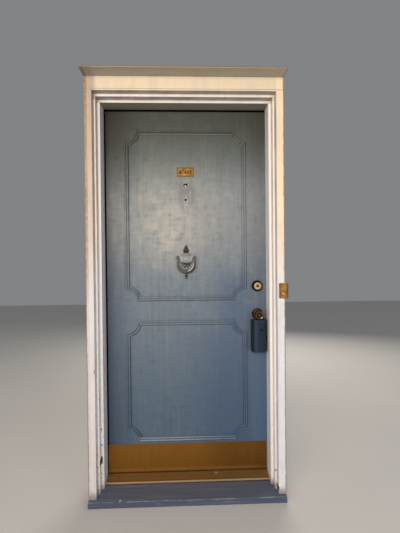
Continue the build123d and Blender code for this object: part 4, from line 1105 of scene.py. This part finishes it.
def add_leaf(mesh, root, turn, length, half_wide, rise):
    """Adds a veined leaf that lies on the door's face.

    root is (x, z), and turn is in degrees from straight down.
    """
    along = (math.sin(math.radians(turn)), -math.cos(math.radians(turn)))
    across = (math.cos(math.radians(turn)), math.sin(math.radians(turn)))
    rows = []
    for index in range(leaf_rows + 1):
        share = index / leaf_rows
        wide = half_wide * max(math.sin(math.pi * (0.15 + 0.84 * share)), 0.05)
        row = []
        for column in range(leaf_columns + 1):
            side = 2 * column / leaf_columns - 1
            swell = math.sin(math.pi * (0.2 + 0.72 * share)) ** 0.5
            vein = 1 - 0.35 * math.exp(-((side / 0.2) ** 2))
            lift = rise * swell * (1 - side * side) * vein
            x = root[0] + along[0] * length * share + across[0] * wide * side
            z = root[1] + along[1] * length * share + across[1] * wide * side
            row.append(mesh.verts.new((x, -lift, z)))
        rows.append(row)
    for lower, upper in zip(rows, rows[1:]):
        for column in range(leaf_columns):
            mesh.faces.new((lower[column], lower[column + 1], upper[column + 1], upper[column]))
        mesh.faces.new((lower[0], upper[0], upper[-1], lower[-1]))
    mesh.faces.new(rows[0])
    mesh.faces.new(rows[-1])


def make_knocker_leaves():
    """Carved swag of leaves below the urn's dome and a crest above the bail, both clear of the bail."""
    bail_low, bail_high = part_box("knocker_bail")
    root_z = bail_low.z + swag_root_rise
    leaves = bmesh.new()
    for turn, length in swag_leaves:
        spread = swag_spread * math.sin(math.radians(turn))
        add_leaf(leaves, (spread, root_z), turn, length, *swag_leaf)
    crest_z = bail_high.z + crest_root_rise
    for turn, length in crest_leaves:
        add_leaf(leaves, (0.0, crest_z), turn, length, *crest_leaf)
    piece("knocker_leaves", leaves, "knocker_paint", "leaf", leaf_smooth)


make_screws()
make_nameplate_marks()
make_safe_dial()
make_knocker_leaves()


# Camera, floor and light

def make_camera():
    """The photograph's viewing angle. Right and up are turned by the camera's small roll."""
    ahead = Vector((
        math.sin(camera_yaw) * math.cos(camera_pitch),
        math.cos(camera_yaw) * math.cos(camera_pitch),
        math.sin(camera_pitch),
    ))
    level = Vector((math.cos(camera_yaw), -math.sin(camera_yaw), 0))
    above = level.cross(ahead)
    right = math.cos(camera_roll) * level + math.sin(camera_roll) * above
    up = -math.sin(camera_roll) * level + math.cos(camera_roll) * above
    data = bpy.data.cameras.new("camera")
    data.sensor_width = camera_sensor
    data.lens = camera_lens
    camera = bpy.data.objects.new("camera", data)
    bpy.context.scene.collection.objects.link(camera)
    turn = Matrix((right, up, -ahead)).transposed()
    camera.matrix_world = Matrix.Translation(camera_place) @ turn.to_4x4()
    bpy.context.scene.camera = camera


def make_floor():
    """A plain pale floor."""
    mesh = bmesh.new()
    corners = ((-1, -1), (1, -1), (1, 1), (-1, 1))
    verts = [mesh.verts.new((x * floor_half, y * floor_half, -floor_drop)) for x, y in corners]
    mesh.faces.new(verts)
    data = bpy.data.meshes.new("floor")
    mesh.to_mesh(data)
    mesh.free()
    floor = bpy.data.objects.new("floor", data)
    bpy.context.scene.collection.objects.link(floor)
    pale = Finish("floor_paint", specular=0.2)
    cloud = pale.noise((0.8, 0.8, 0.8), 2, 0.55)
    pale.colour(pale.blend(cloud, floor_seen, floor_light_seen))
    pale.roughness(0.8)
    data.materials.append(pale.material)


def make_light(name, place, target, width, height, power, tint):
    """A soft rectangular light aimed at a point."""
    data = bpy.data.lights.new(name, "AREA")
    data.shape = "RECTANGLE"
    data.size = width
    data.size_y = height
    data.energy = power
    data.color = seen(*tint)[:3]
    light = bpy.data.objects.new(name, data)
    bpy.context.scene.collection.objects.link(light)
    aim = Vector(target) - Vector(place)
    turn = aim.to_track_quat("-Z", "Y").to_matrix()
    light.matrix_world = Matrix.Translation(place) @ turn.to_4x4()


# Each light's name, place, target, width, height, power and tint
lights = (
    ("warm_key", (-0.6, -3.3, 2.3), (0, 0, 1.8), 2.6, 1.2, 71, (255, 230, 198)),
    ("cool_left", (-2.3, -3.2, 1.35), (0, 0, 0.8), 1.6, 1.2, 29, (206, 226, 255)),
    ("cool_right", (2.3, -3.2, 1.35), (0, 0, 0.8), 1.6, 1.2, 36, (206, 226, 255)),
    ("low_sun", (-0.62, -4.1, 1.98), (-0.2, 0, 1.48), 0.8, 0.8, 18, (255, 222, 180)),
    ("room_light", (1.2, 3.6, 2.6), (0, 0, 1.1), 2.6, 2.0, 90, (255, 246, 234)),
)


def make_lights():
    """Warm and cool light from the street, a soft light for the room side, and a pale sky."""
    for light in lights:
        make_light(*light)
    world = bpy.data.worlds.new("studio")
    bpy.context.scene.world = world
    world.use_nodes = True
    background = world.node_tree.nodes["Background"]
    background.inputs["Color"].default_value = seen(*world_seen)
    background.inputs["Strength"].default_value = world_strength


make_camera()
make_floor()
make_lights()
bpy.context.scene.view_settings.view_transform = "Standard"
